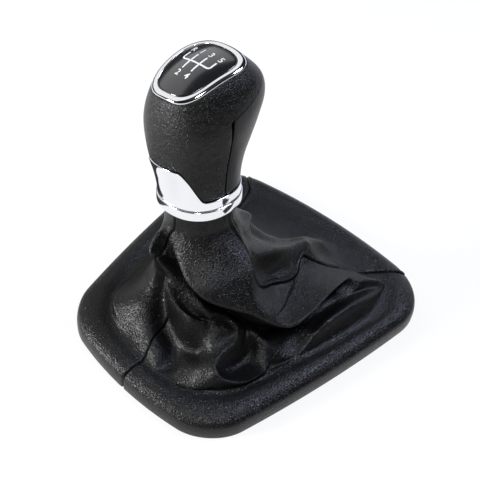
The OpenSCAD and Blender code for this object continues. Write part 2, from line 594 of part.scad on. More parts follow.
// Legs under the cap that snap into the core's deck
leg_x = 8;      // to each side
leg_ys = [-6, 9];
leg_l = 8.4;
leg_w = 3;
leg_t = 1.4;
module cap_legs(gap) {
    translate([0, cap_y, cap_z]) rotate([cap_tilt, 0, 0])
        for (x = [-1, 1], y = leg_ys)
            translate([x * leg_x, y, -leg_l / 2 - cap_t - 1.2])
                cube([leg_t + 2 * gap, leg_w + 2 * gap, leg_l + 2 * gap], center = true);
}
module top_cap() color([0.02, 0.02, 0.025]) on_lever() {
    inset = bezel_w + fit;
    angles = [for (c = [0:head_cols - 1]) c * 360 / head_cols];
    rows = [[inset, -cap_t, 1], [inset, -0.3, 1], [inset + 0.3, 0.05, 1],
            [inset, 0.1, 0.78], [inset, 0.1, 0.5], [inset, 0.1, 0.2]];
    union() {
        loft([for (r = rows) [for (a = angles) on_cap(a, r[0], r[1], r[2])]]);
        cap_legs(0);
    }
}
// Bright ring round the cap: a low crown between the shells and the cap
module cap_bezel() color([0.85, 0.86, 0.88]) on_lever() {
    angles = [for (c = [0:head_cols * 1.5 - 1]) c * 240 / head_cols];
    outer = [[0.85, -cap_t], [0.1, 0], [0.4, bezel_crown * 0.7], [bezel_w * 0.4, bezel_crown]];
    inner = [[bezel_w - 0.2, -cap_t], [bezel_w, 0], [bezel_w - 0.15, bezel_crown * 0.3],
             [bezel_w * 0.75, bezel_crown * 0.8]];
    band([for (r = outer) [for (a = angles) on_cap(a, r[0], r[1])]],
         [for (r = inner) [for (a = angles) on_cap(a, r[0], r[1])]]);
}

// Core: a stem round the sleeve, eight ribs, a foot under the shells and a deck under the cap
sleeve_out = lever_d / 2 + sleeve_wall;
module core_form() {
    angles = [for (c = [0:head_cols - 1]) c * 360 / head_cols];
    low = [for (s = [0:0.1:1]) [for (a = angles) wall_core(a, mix(share_at(a, seat_z), 0.97, s))]];
    loft(concat(low, [[for (a = angles) on_cap(a, deck_inset, -cap_t - fit)]]));
}
module knob_core() color([0.16, 0.16, 0.17]) on_lever() difference() {
    intersection() {
        core_form();
        union() {
            translate([0, 0, seat_z]) cylinder(r = 32, h = 3);
            cylinder(r = sleeve_out + 2.2, h = cap_z);
            for (a = [0:45:135]) rotate([0, 0, a]) translate([-40, -0.9, 0]) cube([80, 1.8, 80]);
            translate([0, cap_y, cap_z]) rotate([cap_tilt, 0, 0]) translate([-30, -30, -7.4]) cube([60, 60, 12]);
        }
    }
    translate([0, 0, -1]) cylinder(r = sleeve_out + fit, h = lever_depth + 1 + sleeve_wall + fit);
    cap_legs(0.25);
}

// Sleeve for the gear lever, closed at its top and slotted below so that the clamp can close it
module lever_sleeve() color([0.3, 0.3, 0.28]) on_lever() difference() {
    translate([0, 0, sleeve_bottom]) cylinder(r = sleeve_out, h = lever_depth + sleeve_wall - sleeve_bottom);
    translate([0, 0, sleeve_bottom - 1]) cylinder(d = lever_d, h = lever_depth - sleeve_bottom + 1);
    for (a = [0, 90]) rotate([0, 0, a])
        translate([-20, -0.7, sleeve_bottom - 1]) cube([40, 1.4, 15]);
}
// Band round the sleeve's slotted end, with its pinched ear
module lever_clamp() color([0.7, 0.7, 0.7]) on_lever() translate([0, 0, sleeve_bottom + 2]) {
    difference() {
        union() {
            cylinder(r = sleeve_out + fit / 2 + clamp_t, h = clamp_w);
            translate([-2.4, -sleeve_out - 2.6, 0]) cube([4.8, 4, clamp_w]);
        }
        translate([0, 0, -1]) cylinder(r = sleeve_out + fit / 2, h = clamp_w + 2);
        translate([-1.4, -sleeve_out - 1.8, -1]) cube([2.8, 2.4, clamp_w + 2]);
    }
}

gaiter_frame();
gaiter_front_panel();
gaiter_left_panel();
gaiter_right_panel();
gaiter_ring();
gaiter_tie();
collar();
knob_core();
lever_sleeve();
lever_clamp();
grip_rear();
grip_front();
cap_bezel();
top_cap();
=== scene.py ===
# %% [markdown]
# A gear shift knob on its leather gaiter. The knob's head is a leather grained shell with a smoother
# panel on the finger side, a gloss cap in a bright ring on top and a bright collar below. Under it a
# black leather gaiter falls in deep folds to a frame with rounded corners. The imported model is
# loaded first: it is the fixed frame that every piece here is placed in.

import bpy
import numpy as np
from mathutils import Matrix


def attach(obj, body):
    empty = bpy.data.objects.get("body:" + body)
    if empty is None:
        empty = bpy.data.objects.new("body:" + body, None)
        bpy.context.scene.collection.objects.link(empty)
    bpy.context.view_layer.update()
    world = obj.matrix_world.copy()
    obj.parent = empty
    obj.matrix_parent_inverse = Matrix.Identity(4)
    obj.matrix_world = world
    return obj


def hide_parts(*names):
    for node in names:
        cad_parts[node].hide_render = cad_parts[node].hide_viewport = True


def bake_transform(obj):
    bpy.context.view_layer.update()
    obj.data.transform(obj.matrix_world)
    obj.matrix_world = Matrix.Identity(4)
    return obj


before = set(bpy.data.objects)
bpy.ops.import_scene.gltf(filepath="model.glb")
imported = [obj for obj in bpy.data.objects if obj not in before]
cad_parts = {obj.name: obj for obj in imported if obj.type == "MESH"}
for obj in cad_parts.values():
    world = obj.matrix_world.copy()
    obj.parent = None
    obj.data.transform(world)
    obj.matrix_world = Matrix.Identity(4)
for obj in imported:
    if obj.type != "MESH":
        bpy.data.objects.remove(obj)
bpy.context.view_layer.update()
MM = 0.001

# %% [markdown]
# The camera comes before the pieces, because each of them is judged through it. It looks down from
# the rear right with a slight roll, as the photograph was taken. Its axes are worked out from the
# compass angle and the height above the horizon, and then turned by the roll.

# %% Camera
VIEW_TURN, VIEW_HEIGHT, VIEW_ROLL = np.radians([37.64, 44.36, 6.25])
VIEW_AIM = np.array([-2.21, -0.76, 40.0])
VIEW_DISTANCE = 297.54
VIEW_LENS = 46.42


def unit(v):
    """A vector divided by its own length, for one vector or for an array of them."""
    return v / np.maximum(np.linalg.norm(v, axis=-1, keepdims=True), 1e-12)


def add_object(name, data):
    """An object with its data, linked to the scene."""
    thing = bpy.data.objects.new(name, data)
    bpy.context.scene.collection.objects.link(thing)
    return thing


def placed(right, up, back, place):
    """Matrix of an object whose own axes point to the right, up and back, at a place in metres."""
    return Matrix([[right[k], up[k], back[k], place[k]] for k in range(3)] + [[0, 0, 0, 1]])


view_back = np.array([np.sin(VIEW_TURN) * np.cos(VIEW_HEIGHT),
                      -np.cos(VIEW_TURN) * np.cos(VIEW_HEIGHT), np.sin(VIEW_HEIGHT)])
level = unit(np.cross(-view_back, [0, 0, 1]))
upward = np.cross(level, -view_back)
view_right = level * np.cos(VIEW_ROLL) + upward * np.sin(VIEW_ROLL)
view_up = upward * np.cos(VIEW_ROLL) - level * np.sin(VIEW_ROLL)
camera = add_object("camera", bpy.data.cameras.new("camera"))
camera.data.lens, camera.data.sensor_width = VIEW_LENS, 36
camera.data.clip_start, camera.data.clip_end = 0.01, 20
camera.matrix_world = placed(view_right, view_up, view_back, (VIEW_AIM + view_back * VIEW_DISTANCE) * MM)
bpy.context.scene.camera = camera
print("camera at", [round(v, 3) for v in camera.location])

# %% [markdown]
# Every new piece is a surface over two parameters: a whole grid of points is worked out at once and
# handed to the mesh. A wall has an outer and an inner grid of the same size, joined along their
# edges, so it is closed as the real one is. One helper makes them all.

# %% Grids into meshes
def quads(rows, cols, wrap):
    """Corner numbers of the cells of a grid of rows by cols points, closed round if wrap is true."""
    r, c = np.meshgrid(np.arange(rows - 1), np.arange(cols if wrap else cols - 1), indexing="ij")
    n = (c + 1) % cols
    return np.stack([r * cols + c, r * cols + n, (r + 1) * cols + n, (r + 1) * cols + c],
                    axis=-1).reshape(-1, 4)


def bridge(a, b):
    """Cells between two closed lists of corner numbers of equal length."""
    return np.stack([a, b, np.roll(b, -1), np.roll(a, -1)], axis=-1)


def wall_cells(rows, cols, wrap=False):
    """Cells of a closed wall: an outer grid, an inner one turned round, and strips between their
    edges. With wrap the columns close round, so only the bottom and the top need a strip."""
    half = rows * cols
    cells = quads(rows, cols, wrap)
    index = np.arange(half).reshape(rows, cols)
    if wrap:
        edges = [bridge(index[0] + half, index[0])[:, ::-1],
                 bridge(index[-1], index[-1] + half)[:, ::-1]]
    else:
        rim = np.concatenate([index[0], index[1:, -1], index[-1, -2::-1], index[-2:0:-1, 0]])
        edges = [bridge(rim, rim + half)]
    return np.concatenate([cells, cells[:, ::-1] + half] + edges)


def make_piece(name, points, faces):
    """A smooth mesh object from points in millimetres and faces of four corners."""
    mesh = bpy.data.meshes.new(name)
    mesh.from_pydata((np.asarray(points) * MM).tolist(), [], np.asarray(faces).tolist())
    mesh.polygons.foreach_set("use_smooth", np.ones(len(mesh.polygons), dtype=bool))
    mesh.validate()
    mesh.update()
    return add_object(name, mesh)


def shell(name, outer, inner, wrap=False):
    """A closed wall between an outer and an inner grid of the same rows and columns of points.
    Rows run up and columns run to the right, seen from outside."""
    points = np.concatenate([outer.reshape(-1, 3), inner.reshape(-1, 3)])
    return make_piece(name, points, wall_cells(*outer.shape[:2], wrap))


def ring_normals(grid):
    """Outward normals of a grid that closes round: its step along the row crossed with its step up."""
    along = np.roll(grid, -1, axis=1) - np.roll(grid, 1, axis=1)
    return unit(np.cross(along, np.gradient(grid, axis=0)))


def steps_of(points, axis=0):
    """Distances between neighbouring points of a line or a grid, along one of its axes."""
    return np.linalg.norm(np.diff(points, axis=axis), axis=-1)


def run_of(steps):
    """Distance from the start at each point of a line that has these steps."""
    return np.concatenate([[0], np.cumsum(steps)])


# %% [markdown]
# The same few curves shape many pieces: an eased step, a straight mix, and a smooth curve through
# values at even spacing. The lever leans, so what belongs to the knob is worked out round the
# lever's own axis and then turned into place.

# %% Curves and the lever's place
def ease(t):
    """Step from 0 to 1 with level ends, from the cubic 3t^2 - 2t^3."""
    t = np.clip(t, 0, 1)
    return t * t * (3 - 2 * t)


def mix(a, b, t):
    """Straight mix of a and b."""
    return a + (b - a) * t


def bell(distance, spread):
    """Bell curve exp(-(distance / spread)^2)."""
    return np.exp(-((distance / spread) ** 2))


def signed_power(v, e):
    """Power of the size of v, with v's own sign."""
    return np.sign(v) * np.abs(v) ** e


def turned(p, axis, degrees):
    """Points turned about one axis through the origin: the other two mixed by sine and cosine."""
    a, b = [(1, 2), (2, 0), (0, 1)][axis]
    c, s = np.cos(np.radians(degrees)), np.sin(np.radians(degrees))
    out = np.array(p, dtype=float)
    out[..., a], out[..., b] = p[..., a] * c - p[..., b] * s, p[..., a] * s + p[..., b] * c
    return out


KNOB_PLACE = np.array([-17.0, -15.0, 67.0])
LEAN_LEFT, LEAN_FRONT, HEAD_TURN = 6.3, -1.0, -3.1


def on_lever(p):
    """Points of the knob, worked out about the lever's axis, turned and moved to where it stands."""
    return KNOB_PLACE + turned(turned(turned(p, 2, HEAD_TURN), 0, LEAN_FRONT), 1, -LEAN_LEFT)


# %% [markdown]
# Real moulded and tanned surfaces are never plain. Three effects are used by several finishes, so
# each is a group with named inputs that is built once. The first is pebbled grain: rounded cells of
# two sizes with rough gaps between them, from the distance to the edges of scattered cells. The
# second is wear, a broad cloudiness that changes roughness a little. The third is the fine texture
# that a mould leaves.

# %% Shader groups
def feed(tree, socket, value):
    """Gives an input a plain value, or links another node's output to it."""
    if isinstance(value, bpy.types.NodeSocket):
        tree.links.new(value, socket)
    else:
        socket.default_value = value


def add_node(tree, kind, inputs, **settings):
    """A shader node with its settings and its inputs, which are given by name or by number."""
    node = tree.nodes.new("ShaderNode" + kind)
    for label, value in settings.items():
        setattr(node, label, value)
    for label, value in inputs.items():
        feed(tree, node.inputs[label], value)
    return node


def math_node(tree, operation, a, b, clamp=False):
    """The output of a Math node."""
    return add_node(tree, "Math", {0: a, 1: b}, operation=operation, use_clamp=clamp).outputs[0]


def noise_node(tree, vector, scale, detail, rough=0.5):
    """The value of a noise texture of a scale per metre on the given coordinates."""
    return add_node(tree, "TexNoise", {"Vector": vector, "Scale": scale, "Detail": detail,
                                       "Roughness": rough}).outputs[0]


def object_place(tree):
    """Each point's place on its object, in metres."""
    return add_node(tree, "TexCoord", {}).outputs["Object"]


def new_group(name, inputs, outputs):
    """An empty group of number sockets, from pairs of a name and a value, and from names. It is
    returned with the sockets that values enter by and those that they leave by."""
    group = bpy.data.node_groups.new(name, "ShaderNodeTree")
    for label, value in inputs:
        socket = group.interface.new_socket(label, in_out="INPUT", socket_type="NodeSocketFloat")
        socket.default_value = value
    for label in outputs:
        group.interface.new_socket(label, in_out="OUTPUT", socket_type="NodeSocketFloat")
    return (group, group.nodes.new("NodeGroupInput").outputs,
            group.nodes.new("NodeGroupOutput").inputs)


GRAIN_SIZES = ((1.0, 0.6), (1.9, 0.4))   # cells per cell size, and share of the height
GAP_POWER = 1.6
BEND_SCALE, BEND_SWING = 0.35, 0.03   # the noise that moves the cells: its scale, and how far


def pebble_group():
    """Grain: the distance to the walls of scattered cells, rounded by a smooth step, for two sizes
    of cells. A noise moves the coordinates a little, so that the cells aren't all alike."""
    group, enter, leave = new_group("pebbled grain", [("Cell size mm", 1.2)], ["Height", "Gap"])
    place = object_place(group)
    scale = math_node(group, "DIVIDE", 1000.0, enter["Cell size mm"])
    bend = noise_node(group, place, math_node(group, "MULTIPLY", scale, BEND_SCALE), 2.0)
    swing = math_node(group, "MULTIPLY", bend, BEND_SWING)
    stretch = math_node(group, "ADD", swing, 1 - BEND_SWING / 2)
    moved = add_node(group, "VectorMath", {0: place, "Scale": stretch}, operation="SCALE").outputs[0]
    heights = []
    for size, share in GRAIN_SIZES:
        cells = add_node(group, "TexVoronoi", feature="DISTANCE_TO_EDGE", inputs={
            "Vector": moved, "Scale": math_node(group, "MULTIPLY", scale, size)})
        edge = add_node(group, "MapRange", {"Value": cells.outputs[0], "From Max": 0.5},
                        interpolation_type="SMOOTHERSTEP")
        heights.append(math_node(group, "MULTIPLY", edge.outputs[0], share))
    height = math_node(group, "ADD", *heights)
    gap = math_node(group, "SUBTRACT", 1.0, height, clamp=True)
    feed(group, leave["Height"], height)
    feed(group, leave["Gap"], math_node(group, "POWER", gap, GAP_POWER))
    return group


WEAR_NOISES = ((34.0, 0.7), (260.0, 0.3))   # scale per metre, and share, of each noise


def wear_group():
    """Cloudiness: two noises, of about 30 mm and 4 mm, swing a value round the middle roughness."""
    group, enter, leave = new_group("handling wear", [("Middle", 0.4), ("Spread", 0.1)], ["Roughness"])
    place = object_place(group)
    broad, small = (math_node(group, "MULTIPLY", noise_node(group, place, scale, 3.0), share)
                    for scale, share in WEAR_NOISES)
    cloud = math_node(group, "SUBTRACT", math_node(group, "ADD", broad, small), 0.5)
    swing = math_node(group, "MULTIPLY", math_node(group, "MULTIPLY", cloud, enter["Spread"]), 2.0)
    feed(group, leave["Roughness"], math_node(group, "ADD", swing, enter["Middle"]))
    return group


def moulded_group():
    """Fine spark texture of a mould: a noise of a tenth of a millimetre."""
    group, enter, leave = new_group("moulded texture", [("Grain mm", 0.12)], ["Height"])
    scale = math_node(group, "DIVIDE", 1000.0, enter["Grain mm"])
    feed(group, leave["Height"], noise_node(group, object_place(group), scale, 2.0))
    return group


PEBBLE, WEAR, MOULDED = pebble_group(), wear_group(), moulded_group()
print("groups", [g.name for g in (PEBBLE, WEAR, MOULDED)])

# %% [markdown]
# A finish puts those groups into a material. The shader's own sockets hold what is the same all
# over, such as the base colour of a dyed skin, and a group drives only what changes over the
# surface: the roughness, and the height that bends the light. The leather is nearly black, so its
# shine and the grain in it are what people see.

# %% Finishes
def base_material(name, colour, rough, metal=0.0, **sockets):
    """A material with one Principled shader and its plain values, returned with tree and shader.
    A name of an input has underscores where the input's own name has spaces."""
    material = bpy.data.materials.new(name)
    material.use_nodes = True
    tree = material.node_tree
    shader = tree.nodes["Principled BSDF"]
    sockets.update(Base_Color=(*colour, 1), Roughness=rough, Metallic=metal)
    for label, value in sockets.items():
        feed(tree, shader.inputs[label.replace("_", " ")], value)
    return material, tree, shader


def wear_of(tree, rough, spread):
    """Roughness that swings round its middle value with the wear."""
    wear = add_node(tree, "Group", node_tree=WEAR, inputs={"Middle": rough, "Spread": spread})
    return wear.outputs["Roughness"]


def bump_node(tree, height, strength, distance, **under):
    """Normal that a height bends, over a Normal under it if one is given; distance is in metres."""
    return add_node(tree, "Bump", {"Height": height, "Strength": strength, "Distance": distance,
                                   **under}).outputs[0]


def worn_material(name, colour, rough, spread=0.06, metal=0.0, **sockets):
    """A finish whose roughness swings a little with the wear; returns it with tree and shader."""
    material, tree, shader = base_material(name, colour, rough, metal, **sockets)
    feed(tree, shader.inputs["Roughness"], wear_of(tree, rough, spread))
    return material, tree, shader


GAP_ROUGH, CREASE_STRENGTH, CREASE_DEPTH = 0.12, 0.35, 0.0008


def skin_material(name, colour, rough, spread, cell_mm, depth_mm, crease_mm, level):
    """Grained skin: pebbles over soft creases, rougher in the gaps, with cloudy wear."""
    material, tree, shader = base_material(name, colour, rough, Specular_IOR_Level=level)
    grain = add_node(tree, "Group", node_tree=PEBBLE, inputs={"Cell size mm": cell_mm}).outputs
    gap_rough = math_node(tree, "MULTIPLY", grain["Gap"], GAP_ROUGH)
    feed(tree, shader.inputs["Roughness"],
         math_node(tree, "ADD", wear_of(tree, rough, spread), gap_rough, clamp=True))
    creases = noise_node(tree, object_place(tree), 1000.0 / crease_mm, 4.0, 0.55)
    soft = bump_node(tree, creases, CREASE_STRENGTH, CREASE_DEPTH)
    feed(tree, shader.inputs["Normal"],
         bump_node(tree, grain["Height"], 1.0, depth_mm * MM, Normal=soft))
    return material


MOULD_STRENGTH, MOULD_DEPTH = 0.35, 0.00005


def moulded_material(name, colour, rough, grain_mm=0.14, metal=0.0):
    """Moulded plastic or plain metal with the fine texture that its tool leaves."""
    material, tree, shader = worn_material(name, colour, rough, metal=metal)
    texture = add_node(tree, "Group", node_tree=MOULDED, inputs={"Grain mm": grain_mm})
    feed(tree, shader.inputs["Normal"],
         bump_node(tree, texture.outputs["Height"], MOULD_STRENGTH, MOULD_DEPTH))
    return material


GAITER_LEATHER = skin_material("gaiter leather", (0.003, 0.003, 0.0033), rough=0.25, spread=0.03,
                               cell_mm=1.4, depth_mm=0.22, crease_mm=9.0, level=0.32)
HEAD_SKIN = skin_material("head skin", (0.003, 0.003, 0.0029), rough=0.24, spread=0.03,
                          cell_mm=1.05, depth_mm=0.2, crease_mm=14.0, level=0.34)
FINGER_PANEL = skin_material("finger panel", (0.003, 0.003, 0.0038), rough=0.28, spread=0.05,
                             cell_mm=0.9, depth_mm=0.05, crease_mm=14.0, level=0.4)
# bright plating is nearly a mirror; the cap is a dark body under a clear coat
PLATING = worn_material("bright plating", (0.84, 0.85, 0.87), 0.07, 0.03, 1.0)[0]
CAP_GLOSS = worn_material("polished cap", (0.006, 0.006, 0.0075), 0.22, Coat_Weight=1.0,
                          Coat_Roughness=0.12)[0]
FRAME_PLASTIC = moulded_material("frame plastic", (0.02, 0.02, 0.021), 0.5)
CORE_PLASTIC = moulded_material("core plastic", (0.05, 0.05, 0.055), 0.45)
TIE_PLASTIC = moulded_material("tie plastic", (0.03, 0.03, 0.03), 0.4, 0.3)
CLAMP_STEEL = moulded_material("clamp steel", (0.55, 0.55, 0.56), 0.3, 0.3, 1.0)
THREAD = moulded_material("black thread", (0.012, 0.012, 0.013), 0.55, 0.09)
PRINT_WHITE = moulded_material("white print", (0.64, 0.65, 0.67), 0.35, 0.1)


def finish_piece(piece, body, material, slot_name, *nodes):
    """Gives a piece its material, hides the nodes that it stands for and puts it under its body. The slot
    name is not used.
    """
    piece.data.materials.append(material)
    if nodes:
        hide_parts(*nodes)
    if body:
        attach(piece, body)
    return piece


# %% [markdown]
# The leather starts as a plain form. Its outline is a trapezium with bulged sides and rounded
# corners, the same as the frame's. From the frame's top the skin runs in and up to the neck on two
# cubic curves. All points are worked out at once, for fine steps round and up.

# %% The leather's outline and plain form
GAITER_L, REAR_W, FRONT_W = 140.0, 97.7, 155.9
REAR_BULGE, FRONT_BULGE, SIDE_BULGE = 6.8, 9.9, 3.4
REAR_CORNER, FRONT_CORNER = 16.0, 27.0
SPLIT = 6   # fine steps for each station of the part's source
OUTLINE_STEPS = [n * SPLIT for n in (7, 5, 17, 6, 9)]
STATIONS = 2 * sum(OUTLINE_STEPS)
SEAM = 34 * SPLIT


def side_point(a, b, bulge, t):
    """Point of a side from a to b that bulges out as a parabola, at the share t."""
    d = b - a
    return a + d * t + 4 * bulge * t * (1 - t) * np.array([d[1], -d[0]]) / np.hypot(*d)


def round_point(a, corner, b, t):
    """Point of a cubic curve from a to b whose handles lie 0.58 of the way to the corner."""
    p, q, s = mix(a, corner, 0.58), mix(b, corner, 0.58), 1 - t
    return s**3 * a + 3 * s * s * t * p + 3 * s * t * t * q + t**3 * b


def outline(inset):
    """The gaiter's edge, inset by a distance, as stations from the middle of the rear to the right."""
    shift = (FRONT_BULGE - REAR_BULGE) / 2
    rx, fx = REAR_W / 2 - inset, FRONT_W / 2 - inset
    ry, fy = -GAITER_L / 2 - shift + inset, GAITER_L / 2 - shift - inset
    rl, rr, fr, fl = np.array([[-rx, ry], [rx, ry], [fx, fy], [-fx, fy]])
    side_l = np.hypot(*(fr - rr))
    kr, ks = REAR_CORNER / (2 * rx), REAR_CORNER / side_l
    kt, kf = FRONT_CORNER / side_l, FRONT_CORNER / (2 * fx)
    rear_end = side_point(rl, rr, REAR_BULGE, 1 - kr)
    right_start, right_end = (side_point(rr, fr, SIDE_BULGE, k) for k in (ks, 1 - kt))
    front_start = side_point(fr, fl, FRONT_BULGE, kf)
    t = [np.linspace(a, b, n, endpoint=False)[:, None] for (a, b), n in
         zip([(0.5, 1 - kr), (0, 1), (ks, 1 - kt), (0, 1), (kf, 0.5)], OUTLINE_STEPS)]
    half = np.concatenate([side_point(rl, rr, REAR_BULGE, t[0]),
                           round_point(rear_end, rr, right_start, t[1]),
                           side_point(rr, fr, SIDE_BULGE, t[2]),
                           round_point(right_end, fr, front_start, t[3]),
                           side_point(fr, fl, FRONT_BULGE, t[4])])
    middle = side_point(fr, fl, FRONT_BULGE, 0.5)
    return np.concatenate([half, middle[None], half[:0:-1] * [-1, 1]])


def at_height(xy, z):
    """Flat points given a height."""
    return np.concatenate([xy, np.full((len(xy), 1), float(z))], axis=1)


FRAME_H, RIM_IN = 7.6, 12.2
FRAME_ROWS = [(0, 0.3), (0.2, 4.4), (1, FRAME_H - 0.2), (3.2, FRAME_H + 1.5),
              (7.5, FRAME_H + 2.5), (RIM_IN, FRAME_H + 1.6)]
NECK_R, NECK_L, TIE_GROOVE, LEATHER_T = 15.6, 6.0, 0.8, 1.1
NECK_ROWS = [(-NECK_L, NECK_R), (-NECK_L / 2, NECK_R), (-0.6, NECK_R), (1.2, NECK_R - 0.2),
             (2.3, NECK_R - TIE_GROOVE), (3.4, NECK_R - 0.7 * TIE_GROOVE)]
rims = np.array([at_height(outline(inset), z) for inset, z in FRAME_ROWS])
neck_middle = on_lever(np.array([0, 0, -NECK_L]))
neck_turn = np.arctan2(rims[-1][:, 1] - neck_middle[1], rims[-1][:, 0] - neck_middle[0])
neck_turn -= np.radians(HEAD_TURN)
neck_ring = np.stack([np.cos(neck_turn), np.sin(neck_turn)], axis=1)
necks = on_lever(np.array([at_height(r * neck_ring, z) for z, r in NECK_ROWS]))

# how far each seam drifts: its station, the amount, the shares where it starts and ends, its spread
SLIPS = [(0, -5, 0.5, 0.8, 9), (34, -12, 0.44, 0.7, 16), (54, 6, 0.4, 0.6, 9), (88, -5, 0.5, 0.8, 9)]
# middle factors of the leather's two cubic curves, inwards and upwards
CURVE_IN, CURVE_UP = (1.26, 2.8), (27, 60)


def slipped(share):
    """Where each column stands in rows at shares of the way up. Seams drift round the leather: the
    sum over the seams of amount * ease(share) * exp(-((station - seam) / spread)^2) is added."""
    station, s = np.arange(STATIONS) / SPLIT, np.asarray(share, dtype=float)[:, None]
    i = station
    for seam, amount, start, end, spread in SLIPS:
        i = i + amount * ease((s - start) / (end - start)) * bell(station - seam, spread)
    return i * SPLIT


def between(row, place):
    """Points of a closed row at places that may lie between two of its columns."""
    i = np.floor(place).astype(int)
    return mix(row[i % STATIONS], row[(i + 1) % STATIONS], (place - i)[..., None])


def plain(share, place=None):
    """Rows of the leather without folds, at shares of the way from the frame's rim to the neck. The
    way in and the height are each a cubic curve of the share, with the two middle factors above."""
    place = np.arange(STATIONS)[None] + np.zeros((len(share), 1)) if place is None else place
    low, high = between(rims[-1], place), between(necks[0], place)
    s = np.asarray(share)[:, None, None]
    q = 1 - s
    run = CURVE_IN[0] * q * q * s + CURVE_IN[1] * q * s * s + s**3
    rise = (q**3 * low[..., 2:] + CURVE_UP[0] * q * q * s + CURVE_UP[1] * q * s * s
            + s**3 * high[..., 2:])
    return np.concatenate([mix(low[..., :2], high[..., :2], run), rise], axis=2)


print("leather outline", STATIONS, "stations, seam at", SEAM)

# %% [markdown]
# The folds are what people see first in such a gaiter. Simulated cloth would make some folds, but
# not these. So each fold is a path of a few points that the leather is drawn to, with a width and a
# sharpness, and a step in and up to where its leather comes from. That step lets a fold hang over
# the leather below it. The folds are laid one over the other in the order of the list.

# %% Folds
FOLDS = [
    (11, 2, (0, 0), [(-34, -55, 13), (-24, -52, 18), (-12, -51, 21), (0, -53, 20), (7, -57, 15)]),
    (6.5, 1.8, (0, 0), [(18, -34, 19), (19, -42, 20), (22, -51, 17), (29, -57, 15), (40, -54, 14),
                        (48, -46, 13), (52, -34, 12), (54, -22, 10)]),
    (4, 1.8, (0, 0), [(11, -70, 9), (20, -68, 9), (28, -65, 8), (35, -61, 8), (42, -56, 8),
                      (46, -47, 8), (50, -35, 8), (53, -25, 8), (54, -10, 9)]),
    # the second fold round the left of the neck, and the hollows outside it
    (6, 1.5, (0, -12), [(-21, -39, 60), (-20, -46, 53), (-17, -48, 47), (-11, -48, 42), (-6, -48, 37),
                        (-1, -48, 34), (5, -46, 31), (11, -43, 28), (12, -37, 25)]),
    (5.5, 2, (0, 0), [(-17, -35, 29), (-15, -39, 22), (-10, -43, 17), (-5, -47, 13), (1, -49, 12),
                      (7, -50, 11), (15, -47, 10)]),
    (4.5, 1.6, (0, 0), [(-4, -46, 13), (4, -50, 9), (10, -56, 7), (14, -62, 9)]),
    # the bowl of the pocket at the right
    (9, 2, (14, 0), [(28, -12, 23), (36, -3, 19), (38, 12, 19), (39, 30, 16), (40, 45, 13)]),
    # the flap under the collar, the crease on its right, the lip round the pocket, its lower edge
    (12, 2, (0, 6), [(-3, -22, 64), (4, -30, 50), (11, -35, 42), (19, -31, 35)]),
    (7, 1.3, (4, 4), [(2, -4, 59), (10, -9, 56), (16, -13, 52), (24, -19, 44), (33, -24, 34),
                      (37, -23, 29)]),
    (5.5, 1.3, (16, 0), [(36, -27, 30), (44, -21, 27), (46, -13, 26), (46, -5, 26), (45, 7, 25),
                         (44, 20, 24), (44, 35, 20), (48, 46, 16), (53, 54, 13), (58, 57, 10)]),
    (6.5, 1.4, (10, 6), [(-19, -32, 60), (-11, -38, 50), (-3, -43, 45), (5, -44, 41), (16, -40, 37),
                         (25, -35, 34), (36, -27, 30)]),
    # the deep valley under the flap's edge and under the lip
    (4.5, 2, (0, 0), [(-12, -32, 44), (-9, -31, 41), (-4, -31, 36), (3, -29, 30), (8, -27, 25),
                      (19, -23, 17), (28, -18, 12), (31, -11, 12), (31, -5, 12)]),
    (4, 2, (0, 0), [(32, 4, 14), (33, 14, 14), (35, 26, 12)]),
    # the pit, the fold that turns back on itself and the leaf shaped fold
    (6, 1.8, (0, 0), [(26, -25, 11), (32, -28, 8), (33, -36, 7), (33, -43, 8)]),
    (4, 1.2, (0, 2), [(13, -33, 24), (16, -30, 23), (22, -28, 22), (26, -30, 21), (28, -35, 20),
                      (27, -42, 19), (28, -49, 19), (32, -52, 19), (38, -52, 19), (46, -48, 18),
                      (48, -44, 17), (49, -35, 16), (50, -28, 14), (54, -22, 10)]),
    (5, 1.5, (0, 0), [(30, -24, 19), (37, -23, 17), (42, -24, 14), (46, -30, 10)]),
    # the valley inside the rim at the right, and the ridge beside it
    (4.5, 1.8, (0, 0), [(46, -26, 8), (51, -14, 8), (52, -2, 8), (53, 12, 8), (55, 26, 9)]),
    (6, 1.8, (0, 0), [(51, -11, 11), (50, 2, 18), (52, 18, 19), (54, 32, 17), (57, 46, 13),
                      (61, 53, 10)]),
    # ridges and a hollow at the front
    (7, 1.5, (0, 3), [(-6, 5, 56), (-3, 13, 49), (5, 24, 39), (11, 37, 27), (14, 49, 18)]),
    (6, 1.8, (0, 0), [(-2, 4, 42), (4, 14, 30), (10, 24, 22)]),
    (6, 1.6, (0, 0), [(12, -5, 43), (13, 14, 36), (14, 34, 28)]),
]
SOURCE_SHARES = np.arange(1, 14) / 14
FOOT_SPREAD = 24.0
source_points = plain(SOURCE_SHARES)[:, ::SPLIT].reshape(-1, 3)


def feet_of(path, inward, up):
    """Where the leather of a path comes from: each point is moved in and up, and its foot is the
    mean of the plain points, weighted by exp((least - d^2) / spread) with d the distance to each."""
    out = unit(path[:, :2] - KNOB_PLACE[:2])
    sought = path + np.column_stack([-inward * out, np.full(len(path), up)])
    far = ((sought[:, None] - source_points) ** 2).sum(axis=2)
    weight = np.exp((far.min(axis=1, keepdims=True) - far) / FOOT_SPREAD)
    return weight @ source_points / weight.sum(axis=1, keepdims=True)


def rounded(chain):
    """A chain with its corners cut at a quarter and three quarters of each stretch."""
    low, high = mix(chain[:-1], chain[1:], 0.25), mix(chain[:-1], chain[1:], 0.75)
    cut = np.stack([low, high], axis=1).reshape(-1, 3)
    return np.concatenate([chain[:1], cut, chain[-1:]])


